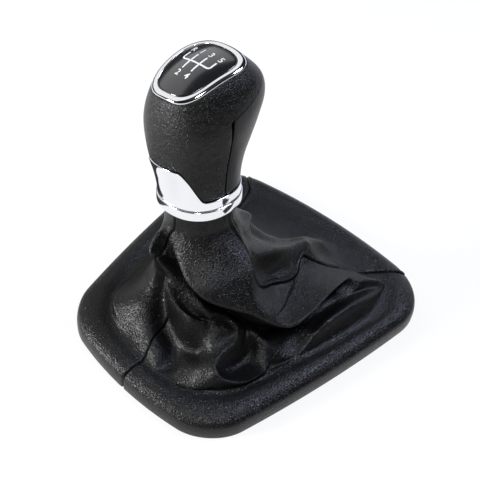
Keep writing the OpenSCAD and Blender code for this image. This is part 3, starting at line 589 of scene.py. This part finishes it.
def nearest_pull(points, feet, pulls):
    """For each point the distance to the nearest stretch of a path, and the pull at that place."""
    least = np.full(points.shape[:-1], 1e9)
    pull = np.zeros_like(points)
    for a, b, pull_a, pull_b in zip(feet[:-1], feet[1:], pulls[:-1], pulls[1:]):
        ab = b - a
        k = np.clip((points - a) @ ab / max(0.01, ab @ ab), 0, 1)[..., None]
        far = np.linalg.norm(points - a - k * ab, axis=-1)
        nearer = far < least
        least = np.where(nearer, far, least)
        pull = np.where(nearer[..., None], mix(pull_a, pull_b, k), pull)
    return least, pull


def folded(points):
    """Points after all folds, one after the other: q = q + k (p + pull - q), with the bell curve
    k = exp(-(d / width)^sharpness) of the distance d between the plain point p and the feet."""
    q = points
    for width, sharpness, (inward, up), path in FOLDS:
        path = np.array(path, dtype=float)
        feet = feet_of(path, inward, up)
        far, pull = nearest_pull(points, rounded(feet), rounded(path - feet))
        q = mix(q, points + pull, np.exp(-((far / width) ** sharpness))[..., None])
    return q


def calmed(grid, times):
    """A grid whose inner rows are drawn half way to the mean of their four neighbours, repeatedly."""
    for _ in range(times):
        beside = np.roll(grid, 1, axis=1)[1:-1] + np.roll(grid, -1, axis=1)[1:-1]
        grid = np.concatenate([grid[:1], mix(grid[1:-1], (beside + grid[:-2] + grid[2:]) / 4, 0.5),
                               grid[-1:]])
    return grid


def smooth_rows(grid, spacing):
    """The same surface with rows at an even spacing, on cubic curves through the given rows."""
    t = run_of(steps_of(grid).mean(axis=1))
    fine = np.linspace(0, t[-1], int(round(t[-1] / spacing)) + 1)
    slope = np.gradient(grid, t, axis=0)
    i = np.clip(np.searchsorted(t, fine, side="right") - 1, 0, len(t) - 2)
    gap = (t[i + 1] - t[i])[:, None, None]
    k = ((fine - t[i]) / (t[i + 1] - t[i]))[:, None, None]
    a, b, c, d = grid[i], grid[i + 1], slope[i] * gap, slope[i + 1] * gap
    return (a * (2 * k**3 - 3 * k**2 + 1) + b * (3 * k**2 - 2 * k**3)
            + c * (k**3 - 2 * k**2 + k) + d * (k**3 - k**2))


# the folds fade out over these shares at the frame and at the neck
FADE_LOW, FADE_HIGH = 0.14, 0.16
CALM_TIMES, ROW_SPACING = 4, 0.8
skirt_shares = np.linspace(0.02, 0.98, 97)
bare = plain(skirt_shares, slipped(skirt_shares))
collar_rows = np.array([between(row, slipped([1.0])[0]) for row in necks])
free = ease(skirt_shares / FADE_LOW) * (1 - ease((skirt_shares - (1 - FADE_HIGH)) / FADE_HIGH))
drawn = np.concatenate([rims[-1:], mix(bare, folded(bare), free[:, None, None]), collar_rows[:1]])
skin = smooth_rows(np.concatenate([rims, calmed(drawn, CALM_TIMES)[1:-1], collar_rows]), ROW_SPACING)
print("leather skin", skin.shape)

# %% [markdown]
# The skin is sewn from three panels. Each of the two front corner seams is a groove with a raised
# welt beside it, which a second groove with a row of stitches closes. The seam at the middle of the
# rear is one deep groove. All are added along the surface's normals before the panels are cut apart.

# %% Seams
def from_seam(grid, column):
    """Distance of each point from a seam's column, measured along its row to both sides."""
    middle = STATIONS // 2
    steps = steps_of(np.roll(grid, middle - column, axis=1), 1)
    along = np.concatenate([np.zeros((len(grid), 1)), np.cumsum(steps, axis=1)], axis=1)
    along -= along[:, middle:middle + 1]
    return np.roll(along, column - middle, axis=1)


WELT, WELT_RISE, WELT_SPREAD = 3.0, 0.5, 1.1
GROOVE_DEPTH, STITCH_DEPTH, GROOVE_SPREAD = 0.8, 0.55, 0.5
SEAM_COLUMNS = {"right": SEAM, "left": STATIONS - SEAM, "rear": 0}
normals = ring_normals(skin)
dip = np.zeros(skin.shape[:2])
for side, column in SEAM_COLUMNS.items():
    away = from_seam(skin, column)
    dip -= GROOVE_DEPTH * bell(away, GROOVE_SPREAD)
    if side != "rear":
        away = away if side == "right" else -away
        dip += (WELT_RISE * bell(away - WELT / 2, WELT_SPREAD)
                - STITCH_DEPTH * bell(away - WELT, GROOVE_SPREAD))
skin = skin + normals * dip[..., None]
normals = ring_normals(skin)
# the lining's directions are evened out, so that it doesn't cross itself in tight folds
LINING_PASSES = 3
inward = normals.copy()
for _ in range(LINING_PASSES):
    inward = unit(inward + np.roll(inward, 1, axis=1) + np.roll(inward, -1, axis=1)
                  + np.roll(inward, 1, axis=0) + np.roll(inward, -1, axis=0))
inward[:3], inward[-3:] = normals[:3], normals[-3:]
lining = skin - LEATHER_T * inward
print("seams at columns", SEAM_COLUMNS)

# %% [markdown]
# Leather that crosses a joint has to bend when the lever moves. A piece can bend across one joint
# only, so the skin is cut along one row into a skirt, from the frame up to the cut, and a neck, from
# there to the knob. Both have the same points on that row. The heights over which the skirt would bend
# from the frame's body to the gaiter's are worked out. So are those over which the neck would bend from
# there to the knob's, ending at the lever's clamp so that the clamp stays under the leather. The
# pieces are given no bend and no body.

# %% Panels
CUT_Z, CLAMP_Z, RIM_Z = 24.0, 51.5, 0.0105
cut_row = int(np.abs(skin[..., 2].mean(axis=1) - CUT_Z).argmin())
cut_heights = skin[cut_row, :, 2]
SKIRT_BEND = (RIM_Z, float(cut_heights.min()) * MM)
NECK_BEND = (float(cut_heights.max()) * MM, CLAMP_Z * MM)
PANEL_COLUMNS = {"right": (0, SEAM), "front": (SEAM, STATIONS - SEAM),
                 "left": (STATIONS - SEAM, STATIONS)}
print("bends", SKIRT_BEND, NECK_BEND)


def leather_piece(name, rows, columns, node):
    """One piece of the leather between two rows and two columns, closed with its lining."""
    take = np.arange(columns[0], columns[1] + 1) % STATIONS
    outer, inner = skin[rows[0]:rows[1]][:, take], lining[rows[0]:rows[1]][:, take]
    piece = finish_piece(shell(name, outer, inner), None, GAITER_LEATHER, "gaiter_leather", node)
    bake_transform(piece)


PARTS = {"skirt": ((0, cut_row + 1), ("base", "gaiter"), SKIRT_BEND),
         "neck": ((cut_row, len(skin)), ("gaiter", "knob"), NECK_BEND)}
for side, columns in PANEL_COLUMNS.items():
    for part, (rows, bodies, bend) in PARTS.items():
        leather_piece(f"{side}_panel_{part}", rows, columns, f"gaiter_{side}_panel")
print("cut at row", cut_row, "of", len(skin))

# %% [markdown]
# Each stitch is a short rounded bar that sinks into the leather at both ends. All the stitches of a
# row are one mesh: the same small grid of points is laid along the seam many times at once.

# %% Stitches
STITCH_PITCH, STITCH_LENGTH, STITCH_R, STITCH_ARCH = 2.3, 1.7, 0.24, 0.2
STITCH_SINK, STITCH_TIP = 0.1, 0.02   # how deep it lies, and the share of its radius at its ends
STITCH_ROWS, STITCH_SIDES = 9, 8
LOOK_AHEAD = 0.5    # distance at which the line's direction is taken
SEARCH_COLUMNS = 60   # columns to each side of a seam in which its stitches are sought


def stitch_line(column, offset, rows):
    """Points and normals of a line beside a seam, at a distance from it along the leather."""
    away = from_seam(skin, column)
    window = (column + np.arange(-SEARCH_COLUMNS, SEARCH_COLUMNS + 1)) % STATIONS
    row_index = np.arange(rows[0], rows[1])
    near = away[row_index][:, window]
    pick = np.argmax(near > offset, axis=1)
    low, high = near[np.arange(len(near)), pick - 1], near[np.arange(len(near)), pick]
    k = ((offset - low) / (high - low))[:, None]
    a, b = window[pick - 1], window[pick]
    return (mix(skin[row_index, a], skin[row_index, b], k),
            unit(mix(normals[row_index, a], normals[row_index, b], k)))


def at_run(places, t, values):
    """Values of three parts, given at the distances t along a line, at other places on it."""
    return np.stack([np.interp(places, t, values[:, k]) for k in range(3)], axis=1)


def stitches(name, line, line_normals, bodies, bend):
    """Rounded bars along a line: for each stitch a grid of rings whose radius is the stitch's, times
    the root of 1 - u^4 for u from -1 to 1 along it, and whose middle is arched up."""
    t = run_of(steps_of(line))
    places = np.arange(STITCH_PITCH, t[-1] - STITCH_PITCH, STITCH_PITCH)
    at, ahead = at_run(places, t, line), at_run(places + LOOK_AHEAD, t, line)
    up = unit(at_run(places, t, line_normals))
    forward = unit(ahead - at)
    across = unit(np.cross(up, forward))
    u = np.linspace(-1, 1, STITCH_ROWS)[:, None]
    turn = np.linspace(0, 2 * np.pi, STITCH_SIDES, endpoint=False)[None]
    girth = np.maximum(STITCH_TIP, np.sqrt(np.maximum(0, 1 - u**4))) * STITCH_R
    local = np.stack([u * STITCH_LENGTH / 2 + 0 * turn, girth * np.cos(turn),
                      girth * np.sin(turn) + STITCH_ARCH * (1 - u * u) - STITCH_SINK + 0 * turn],
                     axis=-1)
    points = at[:, None, None] + sum(local[None, ..., k:k + 1] * way[:, None, None]
                                     for k, way in enumerate((forward, across, up)))
    # each end is closed by one small face over every other point of its ring
    corner = np.arange(0, STITCH_SIDES, 2)
    ends = np.array([corner[::-1] + 1, corner + (STITCH_ROWS - 1) * STITCH_SIDES])
    one = np.concatenate([quads(STITCH_ROWS, STITCH_SIDES, True), ends])
    faces = np.concatenate([one + STITCH_ROWS * STITCH_SIDES * i for i in range(len(places))])
    piece = finish_piece(make_piece(name, points.reshape(-1, 3), faces), None, THREAD,
                         "gaiter_leather")
    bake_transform(piece)


STITCHED = {"seam": ((4, cut_row), ("base", "gaiter"), SKIRT_BEND),
            "neck": ((cut_row, len(skin) - 10), ("gaiter", "knob"), NECK_BEND)}
for side, offset in (("right", WELT), ("left", -WELT)):
    for part, (rows, bodies, bend) in STITCHED.items():
        stitches(f"{side}_{part}_stitches", *stitch_line(SEAM_COLUMNS[side], offset, rows), bodies, bend)
print("stitches made")

# %% [markdown]
# The head is a smooth body round the lever: half widths and reaches at even heights, joined by a
# smooth curve, with a rounded section that is a little squarer than an ellipse. Near the top the
# wall runs over into the outline of the tilted cap. The same functions place every wall round it.

# %% The head's wall
SECTION_STEP = 8.0
HALF_WIDTH = np.array([18, 17.6, 18, 19.1, 20.8, 22, 20.9, 17.2, 9.8])
REAR_REACH = np.array([17.4, 17, 18.1, 19.9, 20.2, 19.4, 17.3, 13.9, 8.8])
FRONT_REACH = np.array([18.1, 17.9, 18.4, 20.5, 24, 27.8, 29.8, 27.3, 18.7])
SECTION_POWER, GRIP_T, CAP_TILT = 2.25, 3.0, np.radians(21)
CAP_Y, CAP_Z, DOME_ACROSS, DOME_ALONG = -1.8, 61.5, 38.0, 45.0
BEZEL_L, BEZEL_W, BEZEL_TAPER, BEZEL_AHEAD, BEZEL_POWER = 17.95, 15.5, 2.5, 1.5, 3.2
RING_W, RING_CROWN, CAP_T, FIT = 2.8, 0.6, 1.6, 0.12


def section_at(values, z):
    """Smooth curve through values at even heights: a cubic whose slopes come from the neighbours."""
    padded = np.concatenate([[2 * values[0] - values[1]], values, [2 * values[-1] - values[-2]]])
    q = np.clip(z / SECTION_STEP, 0, len(values) - 1)
    i = np.minimum(q.astype(int), len(values) - 2)
    t = q - i
    a, b, c, d = (padded[i + k] for k in range(4))
    return b + t / 2 * (c - a + t * (2 * a - 5 * b + 4 * c - d + t * (3 * (b - c) + d - a)))


def head_xy(angle, z, add):
    """Point of the head at an angle from the right and a height, moved outwards by a distance: the
    half width and the reach times the cosine and the sine, each to the power 2 / SECTION_POWER."""
    angle, z, add = np.broadcast_arrays(angle, np.asarray(z, dtype=float), add)
    s, c = np.sin(angle), np.cos(angle)
    a = section_at(HALF_WIDTH, z) + add
    b = np.where(s < 0, section_at(REAR_REACH, z), section_at(FRONT_REACH, z)) + add
    e = 2 / SECTION_POWER
    return np.stack([a * signed_power(c, e), b * signed_power(s, e), z], axis=-1)


def dome(u, v, lift):
    """Point of the tilted cap's dome, across and along it, lifted off by a distance. Each way it
    falls by the square of the distance over twice the radius."""
    h = lift - u * u / 2 / DOME_ACROSS - v * v / 2 / DOME_ALONG
    return np.stack(np.broadcast_arrays(u, CAP_Y + v * np.cos(CAP_TILT) - h * np.sin(CAP_TILT),
                                        CAP_Z + v * np.sin(CAP_TILT) + h * np.cos(CAP_TILT)), axis=-1)


def on_cap(angle, inset, lift, share=1.0):
    """Point within the bezel's outline at an angle. The outline is the cosine and the sine, each to
    the power 2 / BEZEL_POWER, times half widths that grow evenly towards the front."""
    e = 2 / BEZEL_POWER
    v = (BEZEL_L - inset) * signed_power(np.sin(angle), e)
    w = BEZEL_W - inset + BEZEL_TAPER * v / BEZEL_L
    return dome(share * w * signed_power(np.cos(angle), e), BEZEL_AHEAD + share * v, lift)


EASE_FROM = 0.6   # share of the wall's height where it starts to run over into the cap's edge


def wall_point(angle, share, add, inset=0.0, lift=0.0):
    """Wall between the head's bottom (share 0) and the cap's edge (share 1), eased onto the edge."""
    angle, share = np.broadcast_arrays(angle, share)
    top = on_cap(angle, 0.0, 0.0)[..., 2]
    low, high = head_xy(angle, share * top, add), head_xy(angle, top, add)
    k = ease((share - EASE_FROM) / (1 - EASE_FROM))[..., None]
    return low + k * (on_cap(angle, inset, lift) - high)


def share_at(angle, z):
    """Share of the wall's height at a height above the head's bottom."""
    return z / on_cap(angle, 0.0, 0.0)[..., 2]


COLLAR_H, TONGUE_H, TONGUE_FLAT, TONGUE_FOOT, LOOSE = 8.8, 24.5, 24.0, 58.0, 0.3


def collar_top(angle):
    """Height of the collar's edge: a high tongue at the back that eases down to a low band."""
    away = np.abs((np.degrees(angle) - 270 + 540) % 360 - 180)
    return mix(TONGUE_H, COLLAR_H, ease((away - TONGUE_FLAT) / (TONGUE_FOOT - TONGUE_FLAT)))


ARCH_START, ARCH_TOP, ARCH_POWER, GROOVE_W = 0.77, 0.95, 0.55, 0.5


def arch(share):
    """Half angle that the finger panel spans at a share of the height. It closes in a round arch: a
    quarter turn times the part that is left up to the arch's top, to the power ARCH_POWER."""
    left = np.maximum(0, 1 - np.maximum(0, share - ARCH_START) / (ARCH_TOP - ARCH_START))
    return np.pi / 2 * left**ARCH_POWER


print("head top at", round(float(on_cap(np.pi / 2, 0.0, 0.0)[2]), 1), "mm")

# %% [markdown]
# The grained shell and the finger panel meet in a narrow groove. Their edges are rolled over, so
# that the groove catches light as moulded edges do: close to an edge the wall drops by the depth of a
# small round.

# %% Grip shells
EDGE_R, BELT, UNDER_CAP = 0.7, 0.56, 1.2
WALL_H, WALL_R, REACH_Z = 60, 20, 40.0   # rough height and radius of the wall, and where it is measured
GROOVE_ANGLE = GROOVE_W / 2 / WALL_R
FAR_OFF = 9.0   # more than the edge's radius, for points that an edge doesn't reach
PANEL_SHORT = 0.0015   # share by which the panel stops short of the arch's top
# how much closer the points stand at the panel's edges, at the arch's top and beside the groove
EDGE_CROWD, TOP_CROWD, GROOVE_CROWD = 1.35, 1.5, 0.45


def crowded(t, power):
    """Places from 0 to 1 that stand closer together towards 1, from 1 - (1 - t)^power."""
    return 1 - (1 - t) ** power


def rolled(distance):
    """Drop of a rounded edge at a distance from it: a quarter circle of the edge's radius."""
    d = np.clip(distance, 0, EDGE_R)
    return EDGE_R - np.sqrt(np.maximum(0, EDGE_R**2 - (EDGE_R - d) ** 2))


def low_rows(angle):
    """Shares from the collar's edge up to the belt, for each column's own angle."""
    low = share_at(angle, collar_top(angle) + LOOSE)
    return mix(low, BELT, np.linspace(0, 1, 60)[:, None])


def reach_at(angle):
    """Distance of the head's wall from the lever's axis at the height where it is measured."""
    return np.linalg.norm(head_xy(angle, REACH_Z, 0.0)[..., :2], axis=-1)


def grip_piece(name, angle, shares, edge, material, slot_name, node):
    """A grip shell over a grid of angles and shares, rolled over at a distance from its edges."""
    drop = rolled(np.minimum(edge, (shares - shares[0]) * WALL_H))
    outer = on_lever(wall_point(angle, shares, -drop))
    inner = on_lever(wall_point(angle, shares, -GRIP_T, UNDER_CAP, -2 * CAP_T))
    finish_piece(shell(name, outer, inner), "knob", material, slot_name, node)
    print(name, outer.shape)


# the finger panel: columns that spread from -1 to 1 over the arch's span, closer at the edges
spread = np.linspace(-1, 1, 121)
spread = np.sign(spread) * crowded(np.abs(spread), EDGE_CROWD)
low = low_rows(np.pi / 2 + spread * (np.pi / 2 - GROOVE_ANGLE))
climb = crowded(np.linspace(0, 1, 90)[1:], TOP_CROWD)
shares = np.concatenate([low, mix(BELT, ARCH_TOP - PANEL_SHORT, climb)[:, None] + 0 * spread])
span = arch(shares) - GROOVE_ANGLE
angle = np.pi / 2 + spread * np.maximum(span, 0.0)
grip_piece("finger_panel", angle, shares, (1 - np.abs(spread)) * span * reach_at(angle),
           FINGER_PANEL, "grip_panel", "grip_front")

# the grained shell: divided by the panel below the arch's top, closed round above it
turn = np.linspace(0, 1, 201)
turn = mix(turn, (1 - np.cos(np.pi * turn)) / 2, GROOVE_CROWD)


def shell_angles(shares):
    """Angles of the grained shell's columns at each row, from one side of the arch to the other."""
    half = np.where(arch(shares) > 0, arch(shares) + GROOVE_ANGLE, 0.0)
    return np.pi / 2 + half + turn * (2 * np.pi - 2 * half), half


low = low_rows(shell_angles(np.zeros((1, 1)))[0][0])
divided = mix(BELT, ARCH_TOP, crowded(np.linspace(0, 1, 70)[1:], TOP_CROWD))
closed = mix(ARCH_TOP, 1.0, np.linspace(0, 1, 14)[1:])
shares = np.concatenate([low, np.concatenate([divided, closed])[:, None] + 0 * turn])
angle, half = shell_angles(shares)
reach = reach_at(angle)
side = np.minimum(turn, 1 - turn) * (2 * np.pi - 2 * half) * reach
side = np.where(half > 0, side, FAR_OFF)
over = np.maximum(0, (shares - ARCH_TOP) * WALL_H)
near_top = np.abs(angle - np.pi / 2 - np.pi * (turn > 0.5) * 2) * reach
apex = np.where(shares >= ARCH_TOP, np.hypot(over, near_top), FAR_OFF)
grip_piece("grained_shell", angle, shares, np.minimum(side, apex), HEAD_SKIN, "grip_skin", "grip_rear")

# %% [markdown]
# The collar is one turned and milled piece on the real knob: a lip at the bottom, a narrow groove,
# and a plain band that rises to the tongue. Its section is a list of heights and distances that a
# smooth curve rounds off. Polished metal shows every facet, so it has many columns.

# %% Collar
def rounded_profile(corners, radius, steps=6):
    """A chain of straight stretches whose inner corners are cut by parabolas of about the radius."""
    corners = np.asarray(corners, dtype=float)
    out = [corners[0]]
    for a, b, c in zip(corners[:-2], corners[1:-1], corners[2:]):
        p = b + unit(a - b) * min(radius, np.linalg.norm(a - b) / 2)
        q = b + unit(c - b) * min(radius, np.linalg.norm(c - b) / 2)
        t = np.linspace(0, 1, steps)[:, None]
        out.extend((1 - t) ** 2 * p + 2 * t * (1 - t) * b + t * t * q)
    out.append(corners[-1])
    return np.array(out)


PROUD, LIP_H, LIP_T, LIP_GROOVE, CURL, SEAT_Z = 0.45, 4.4, 1.3, 0.45, 0.35, 4.8
lip = PROUD + 0.35
lip_profile = rounded_profile([(0, lip - 1.0), (0, lip), (LIP_H - 0.15, lip), (LIP_H, PROUD - LIP_GROOVE),
                               (LIP_H + 0.25, PROUD - LIP_GROOVE), (LIP_H + 0.35, PROUD),
                               (LIP_H + 2.5, PROUD)], 0.35)
around = np.linspace(0, 2 * np.pi, 360, endpoint=False)
edge = collar_top(around)
rise = np.linspace(0, 1, 26)[1:, None]
band_z = mix(lip_profile[-1, 0], edge - CURL, rise)
curl = np.linspace(0, np.pi / 2, 7)[1:, None]
heights = np.concatenate([lip_profile[:, :1] + 0 * around, band_z, edge - CURL + CURL * np.sin(curl)])
adds = np.concatenate([lip_profile[:, 1:] + 0 * around, PROUD + 0 * band_z,
                       PROUD - CURL + CURL * np.cos(curl) + 0 * around])
inner_adds = np.where(heights < SEAT_Z, PROUD - LIP_T, -GRIP_T)
outer, inner = (on_lever(head_xy(around[None], heights, add)) for add in (adds, inner_adds))
finish_piece(shell("collar_band", outer, inner, wrap=True), "knob", PLATING, "bright_trim", "collar")
print("collar", outer.shape)

# %% [markdown]
# The ring round the cap is a low crown. The cap itself is a dome that fills it. Both follow one
# outline function, so they stay parallel all the way round.

# %% Bezel and cap
CROWN_LEAN, CROWN_ROUND = 0.6, 0.75   # powers that move the crown's top outwards and round it
ring_turn = np.linspace(0, 2 * np.pi, 320, endpoint=False)[None]
crown = np.linspace(0, 1, 25)[:, None]
crown_in = 0.1 + (RING_W - 0.1) * crown
crown_lift = RING_CROWN * np.sin(np.pi * crown**CROWN_LEAN) ** CROWN_ROUND
under_in = 0.95 + (RING_W - 1.15) * np.linspace(0, 1, 26)[:, None]
ring_outer = np.concatenate([on_cap(ring_turn, 0.85, -CAP_T), on_cap(ring_turn, crown_in, crown_lift)])
ring_inner = on_cap(ring_turn, under_in, -CAP_T)
finish_piece(shell("bezel_ring", on_lever(ring_outer), on_lever(ring_inner), wrap=True),
             "knob", PLATING, "bright_trim", "cap_bezel")

cap_in = RING_W + FIT
cap_edge = [(cap_in, -CAP_T), (cap_in, -0.35), (cap_in + 0.03, -0.15), (cap_in + 0.12, -0.02),
            (cap_in + 0.3, 0.05)]
cap_rows = [on_cap(ring_turn, *row) for row in cap_edge]
cap_rows += [on_cap(ring_turn, cap_in + 0.3, 0.05 + 0.05 * (1 - s), s)
             for s in np.linspace(0.97, 0.01, 48)]
cap_grid = on_lever(np.concatenate(cap_rows))
cap_under = on_lever(np.concatenate([on_cap(ring_turn, cap_in + 0.01, -CAP_T, s)
                                     for s in np.linspace(1.0, 0.01, len(cap_rows))]))
finish_piece(shell("cap_dome", cap_grid, cap_under, wrap=True), "knob", CAP_GLOSS,
             "cap_gloss", "top_cap")
print("cap", cap_grid.shape)

# %% [markdown]
# The shift pattern is printed on the cap: a cross bar with strokes to the gears and a number at the
# end of each. Such print is thin but not flat, so each stroke is a narrow strip with rounded ends a
# few hundredths of a millimetre above the dome. The numbers come from Blender's own font.

# %% Shift pattern
LINE_W, PRINT_LIFT, PRINT_FOOT, PRINT_STEP = 0.75, 0.16, 0.02, 0.2


def strip(points, width):
    """A strip along a chain of points on the cap, of one width, with half round ends."""
    points = np.array(points, dtype=float)
    fine = [points[0]]
    for a, b in zip(points[:-1], points[1:]):
        n = max(2, int(np.linalg.norm(b - a) / PRINT_STEP))
        fine.extend(a + (b - a) * k / n for k in range(1, n + 1))
    fine = np.array(fine)
    direction = unit(np.gradient(fine, axis=0))
    back = np.minimum(1, np.arange(len(fine)) * PRINT_STEP / (width / 2))
    back = np.minimum(back, back[::-1])
    half = (width / 2 * np.sqrt(np.maximum(0.05, 1 - (1 - back) ** 2)))[:, None]
    across = np.stack([-direction[:, 1], direction[:, 0]], axis=1)
    return np.stack([mix(fine + across * half, fine - across * half, s) for s in np.linspace(0, 1, 5)])


def print_piece(name, grids):
    """All the strips of the pattern as one mesh, each closed with its underside."""
    points, faces, start = [], [], 0
    for g in grids:
        points += [on_lever(dome(g[..., 0], g[..., 1], lift)).reshape(-1, 3)
                   for lift in (PRINT_LIFT, PRINT_FOOT)]
        faces.append(wall_cells(*g.shape[:2]) + start)
        start += g.size
    return make_piece(name, np.concatenate(points), np.concatenate(faces))


def elbow(x, y, sign, r=1.2):
    """A quarter round between the cross bar and an outer stroke."""
    t = np.linspace(0, np.pi / 2, 7)
    return [(x + sign * (-r + r * np.sin(k)), y + r - r * np.cos(k)) for k in t]


COLUMNS = (-7.5, -2.5, 2.5, 7.5)
BAR_V, UP, DOWN = 2.8, 4.4, 4.7
outer_line = ([(COLUMNS[0], BAR_V + UP)] + elbow(COLUMNS[0], BAR_V, -1)[::-1]
              + elbow(COLUMNS[3], BAR_V, 1) + [(COLUMNS[3], BAR_V + UP)])
lines = [outer_line] + [[(x, BAR_V + UP), (x, BAR_V - DOWN)] for x in COLUMNS[1:3]]
pattern = print_piece("shift_lines", [strip(line, LINE_W) for line in lines])
finish_piece(pattern, "knob", PRINT_WHITE, "cap_gloss")

LABEL_GAP, LABEL_SIZE, LABEL_T = 0.9, 4.0, 0.05
LABELS = ([(text, x, BAR_V + UP + LABEL_GAP, 1) for text, x in zip("R135", COLUMNS)]
          + [(text, x, BAR_V - DOWN - LABEL_GAP, -1) for text, x in zip("24", COLUMNS[1:3])])


def gear_label(text, x, y, side):
    """One number of the pattern, made a mesh and laid on the dome point by point."""
    words = bpy.data.curves.new("label", "FONT")
    words.body, words.size, words.align_x = text, LABEL_SIZE, "CENTER"
    words.extrude = words.offset = LABEL_T
    holder = add_object("label", words)
    bpy.context.view_layer.update()
    mesh = bpy.data.meshes.new_from_object(holder.evaluated_get(bpy.context.evaluated_depsgraph_get()))
    bpy.data.objects.remove(holder)
    co = np.empty(len(mesh.vertices) * 3)
    mesh.vertices.foreach_get("co", co)
    co = co.reshape(-1, 3)
    height = co[:, 1].max() - co[:, 1].min()
    v = co[:, 1] - co[:, 1].min() + (y if side > 0 else y - height)
    u = co[:, 0] - (co[:, 0].max() + co[:, 0].min()) / 2 + x
    placed_points = on_lever(dome(u, v, PRINT_LIFT - LABEL_T + co[:, 2]))
    mesh.vertices.foreach_set("co", (placed_points * MM).ravel())
    mesh.update()
    finish_piece(add_object(f"gear_label_{text}", mesh), "knob", PRINT_WHITE, "cap_gloss")


for label in LABELS:
    gear_label(*label)
print("pattern printed")

# %% [markdown]
# What sits inside keeps its solids from the part's source, with its own finish: the frame under the
# leather, the core and the sleeve that take the lever, the clamp, the ring and the tie.

# %% Inner parts
for node, material in (("gaiter_frame", FRAME_PLASTIC), ("gaiter_ring", FRAME_PLASTIC),
                       ("gaiter_tie", TIE_PLASTIC), ("knob_core", CORE_PLASTIC),
                       ("lever_sleeve", CORE_PLASTIC), ("lever_clamp", CLAMP_STEEL)):
    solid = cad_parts[node]
    if solid.material_slots:
        for holder in solid.material_slots:
            holder.material = material
    else:
        solid.data.materials.append(material)
print("inner parts finished")

# %% [markdown]
# A black object shows itself by what it reflects. A small lamp low at the rear left makes the grain
# sparkle, a wide window at the left and two cool lamps at the front draw the folds, and a small lamp
# from above lights the rear. The floor and the backdrop are white to the camera, and the floor keeps
# the object's shadow. Dark cards round the object, over it and in two strips beside it are seen only
# in reflections, so that the leather stays black and the bright trim has something dark to show.

# %% Floor, lights and world
GLOW = 0.8   # share of plain white that the background's own rays see


def white_rays(tree):
    """1 for the rays that see the background itself: camera, glossy and transmission rays."""
    ray = add_node(tree, "LightPath", {}).outputs
    seen = math_node(tree, "MAXIMUM", ray["Is Camera Ray"], ray["Is Transmission Ray"])
    return math_node(tree, "MAXIMUM", seen, ray["Is Glossy Ray"])


def floor_material():
    """White floor: for the camera a mix of white light and a pale matt surface that takes shadow."""
    material, tree, shader = base_material("pale floor", (0.86, 0.86, 0.86), 0.9)
    glow = add_node(tree, "Emission", {"Strength": 1.0})
    share = math_node(tree, "MULTIPLY", white_rays(tree), GLOW)
    blend = add_node(tree, "MixShader", {0: share, 1: shader.outputs[0], 2: glow.outputs[0]})
    feed(tree, tree.nodes["Material Output"].inputs["Surface"], blend.outputs[0])
    return material


def stage_piece(name, points, faces, material):
    """A piece of the stage, with its corners in metres."""
    mesh = bpy.data.meshes.new(name)
    mesh.from_pydata(points, [], faces)
    mesh.materials.append(material)
    piece = add_object(name, mesh)
    return piece


def level_card(x0, x1, y0, y1, z):
    """The corners of a level rectangle."""
    return [(x0, y0, z), (x1, y0, z), (x1, y1, z), (x0, y1, z)]


FLOOR, FAR, TALL, LOW, STRIP_Z = 3.0, 1.5, 1.1, 0.1, 0.002
STRIPS = [(-0.140, -0.100, -0.16, 0.04), (0.100, 0.150, 0.04, 0.22)]
stage_piece("floor", level_card(-FLOOR, FLOOR, -FLOOR, FLOOR, 0), [(0, 1, 2, 3)], floor_material())
corners = level_card(-FAR, FAR, -FAR, FAR, LOW) + level_card(-FAR, FAR, -FAR, FAR, TALL)
card_faces = [(0, 4, 5, 1), (1, 5, 6, 2), (2, 6, 7, 3), (3, 7, 4, 0), (7, 6, 5, 4)]
for sides in STRIPS:
    card_faces.append(tuple(range(len(corners), len(corners) + 4)))
    corners += level_card(*sides, STRIP_Z)
cards = stage_piece("dark_cards", corners, card_faces,
                    base_material("dark card", (0.01, 0.01, 0.012), 0.9)[0])
cards.visible_camera = cards.visible_diffuse = cards.visible_shadow = False

world = bpy.data.worlds.new("studio")
bpy.context.scene.world = world
world.use_nodes = True
tree = world.node_tree
background = tree.nodes["Background"].inputs
feed(tree, background["Color"], (1, 1, 1, 1))
feed(tree, background["Strength"],
     math_node(tree, "ADD", math_node(tree, "MULTIPLY", white_rays(tree), GLOW), 1 - GLOW))


def lamp(name, place, aim, width, height, power, colour=(1, 1, 1)):
    """A soft lamp in metres at a place, turned to a point, with its power in watts."""
    light = bpy.data.lights.new(name, "AREA")
    light.shape, light.size, light.size_y = "RECTANGLE", width, height
    light.energy, light.color = power, colour
    back = unit(np.array(place, dtype=float) - np.array(aim))
    side = unit(np.cross([0, 0, 1], back))
    add_object(name, light).matrix_world = placed(side, np.cross(back, side), back, place)


COOL = (0.72, 0.78, 1.0)
lamp("key", (-0.55, -0.75, 0.35), (0, 0, 0.03), 0.22, 0.22, 10.5)
lamp("left window", (-0.78, 0.1, 0.72), (0, 0, 0.05), 1.3, 0.7, 2.8)
lamp("front window", (-0.1, 1.15, 0.36), (0, 0, 0.08), 0.9, 0.4, 1.8, COOL)
lamp("front top", (0.22, 0.5, 1.0), (0, 0, 0.1), 0.3, 0.3, 7.0, COOL)
lamp("rear top", (0.15, -0.4, 1.0), (0, 0, 0.04), 0.2, 0.2, 4.0)
bpy.context.scene.view_settings.view_transform = "Standard"
print("stage set")
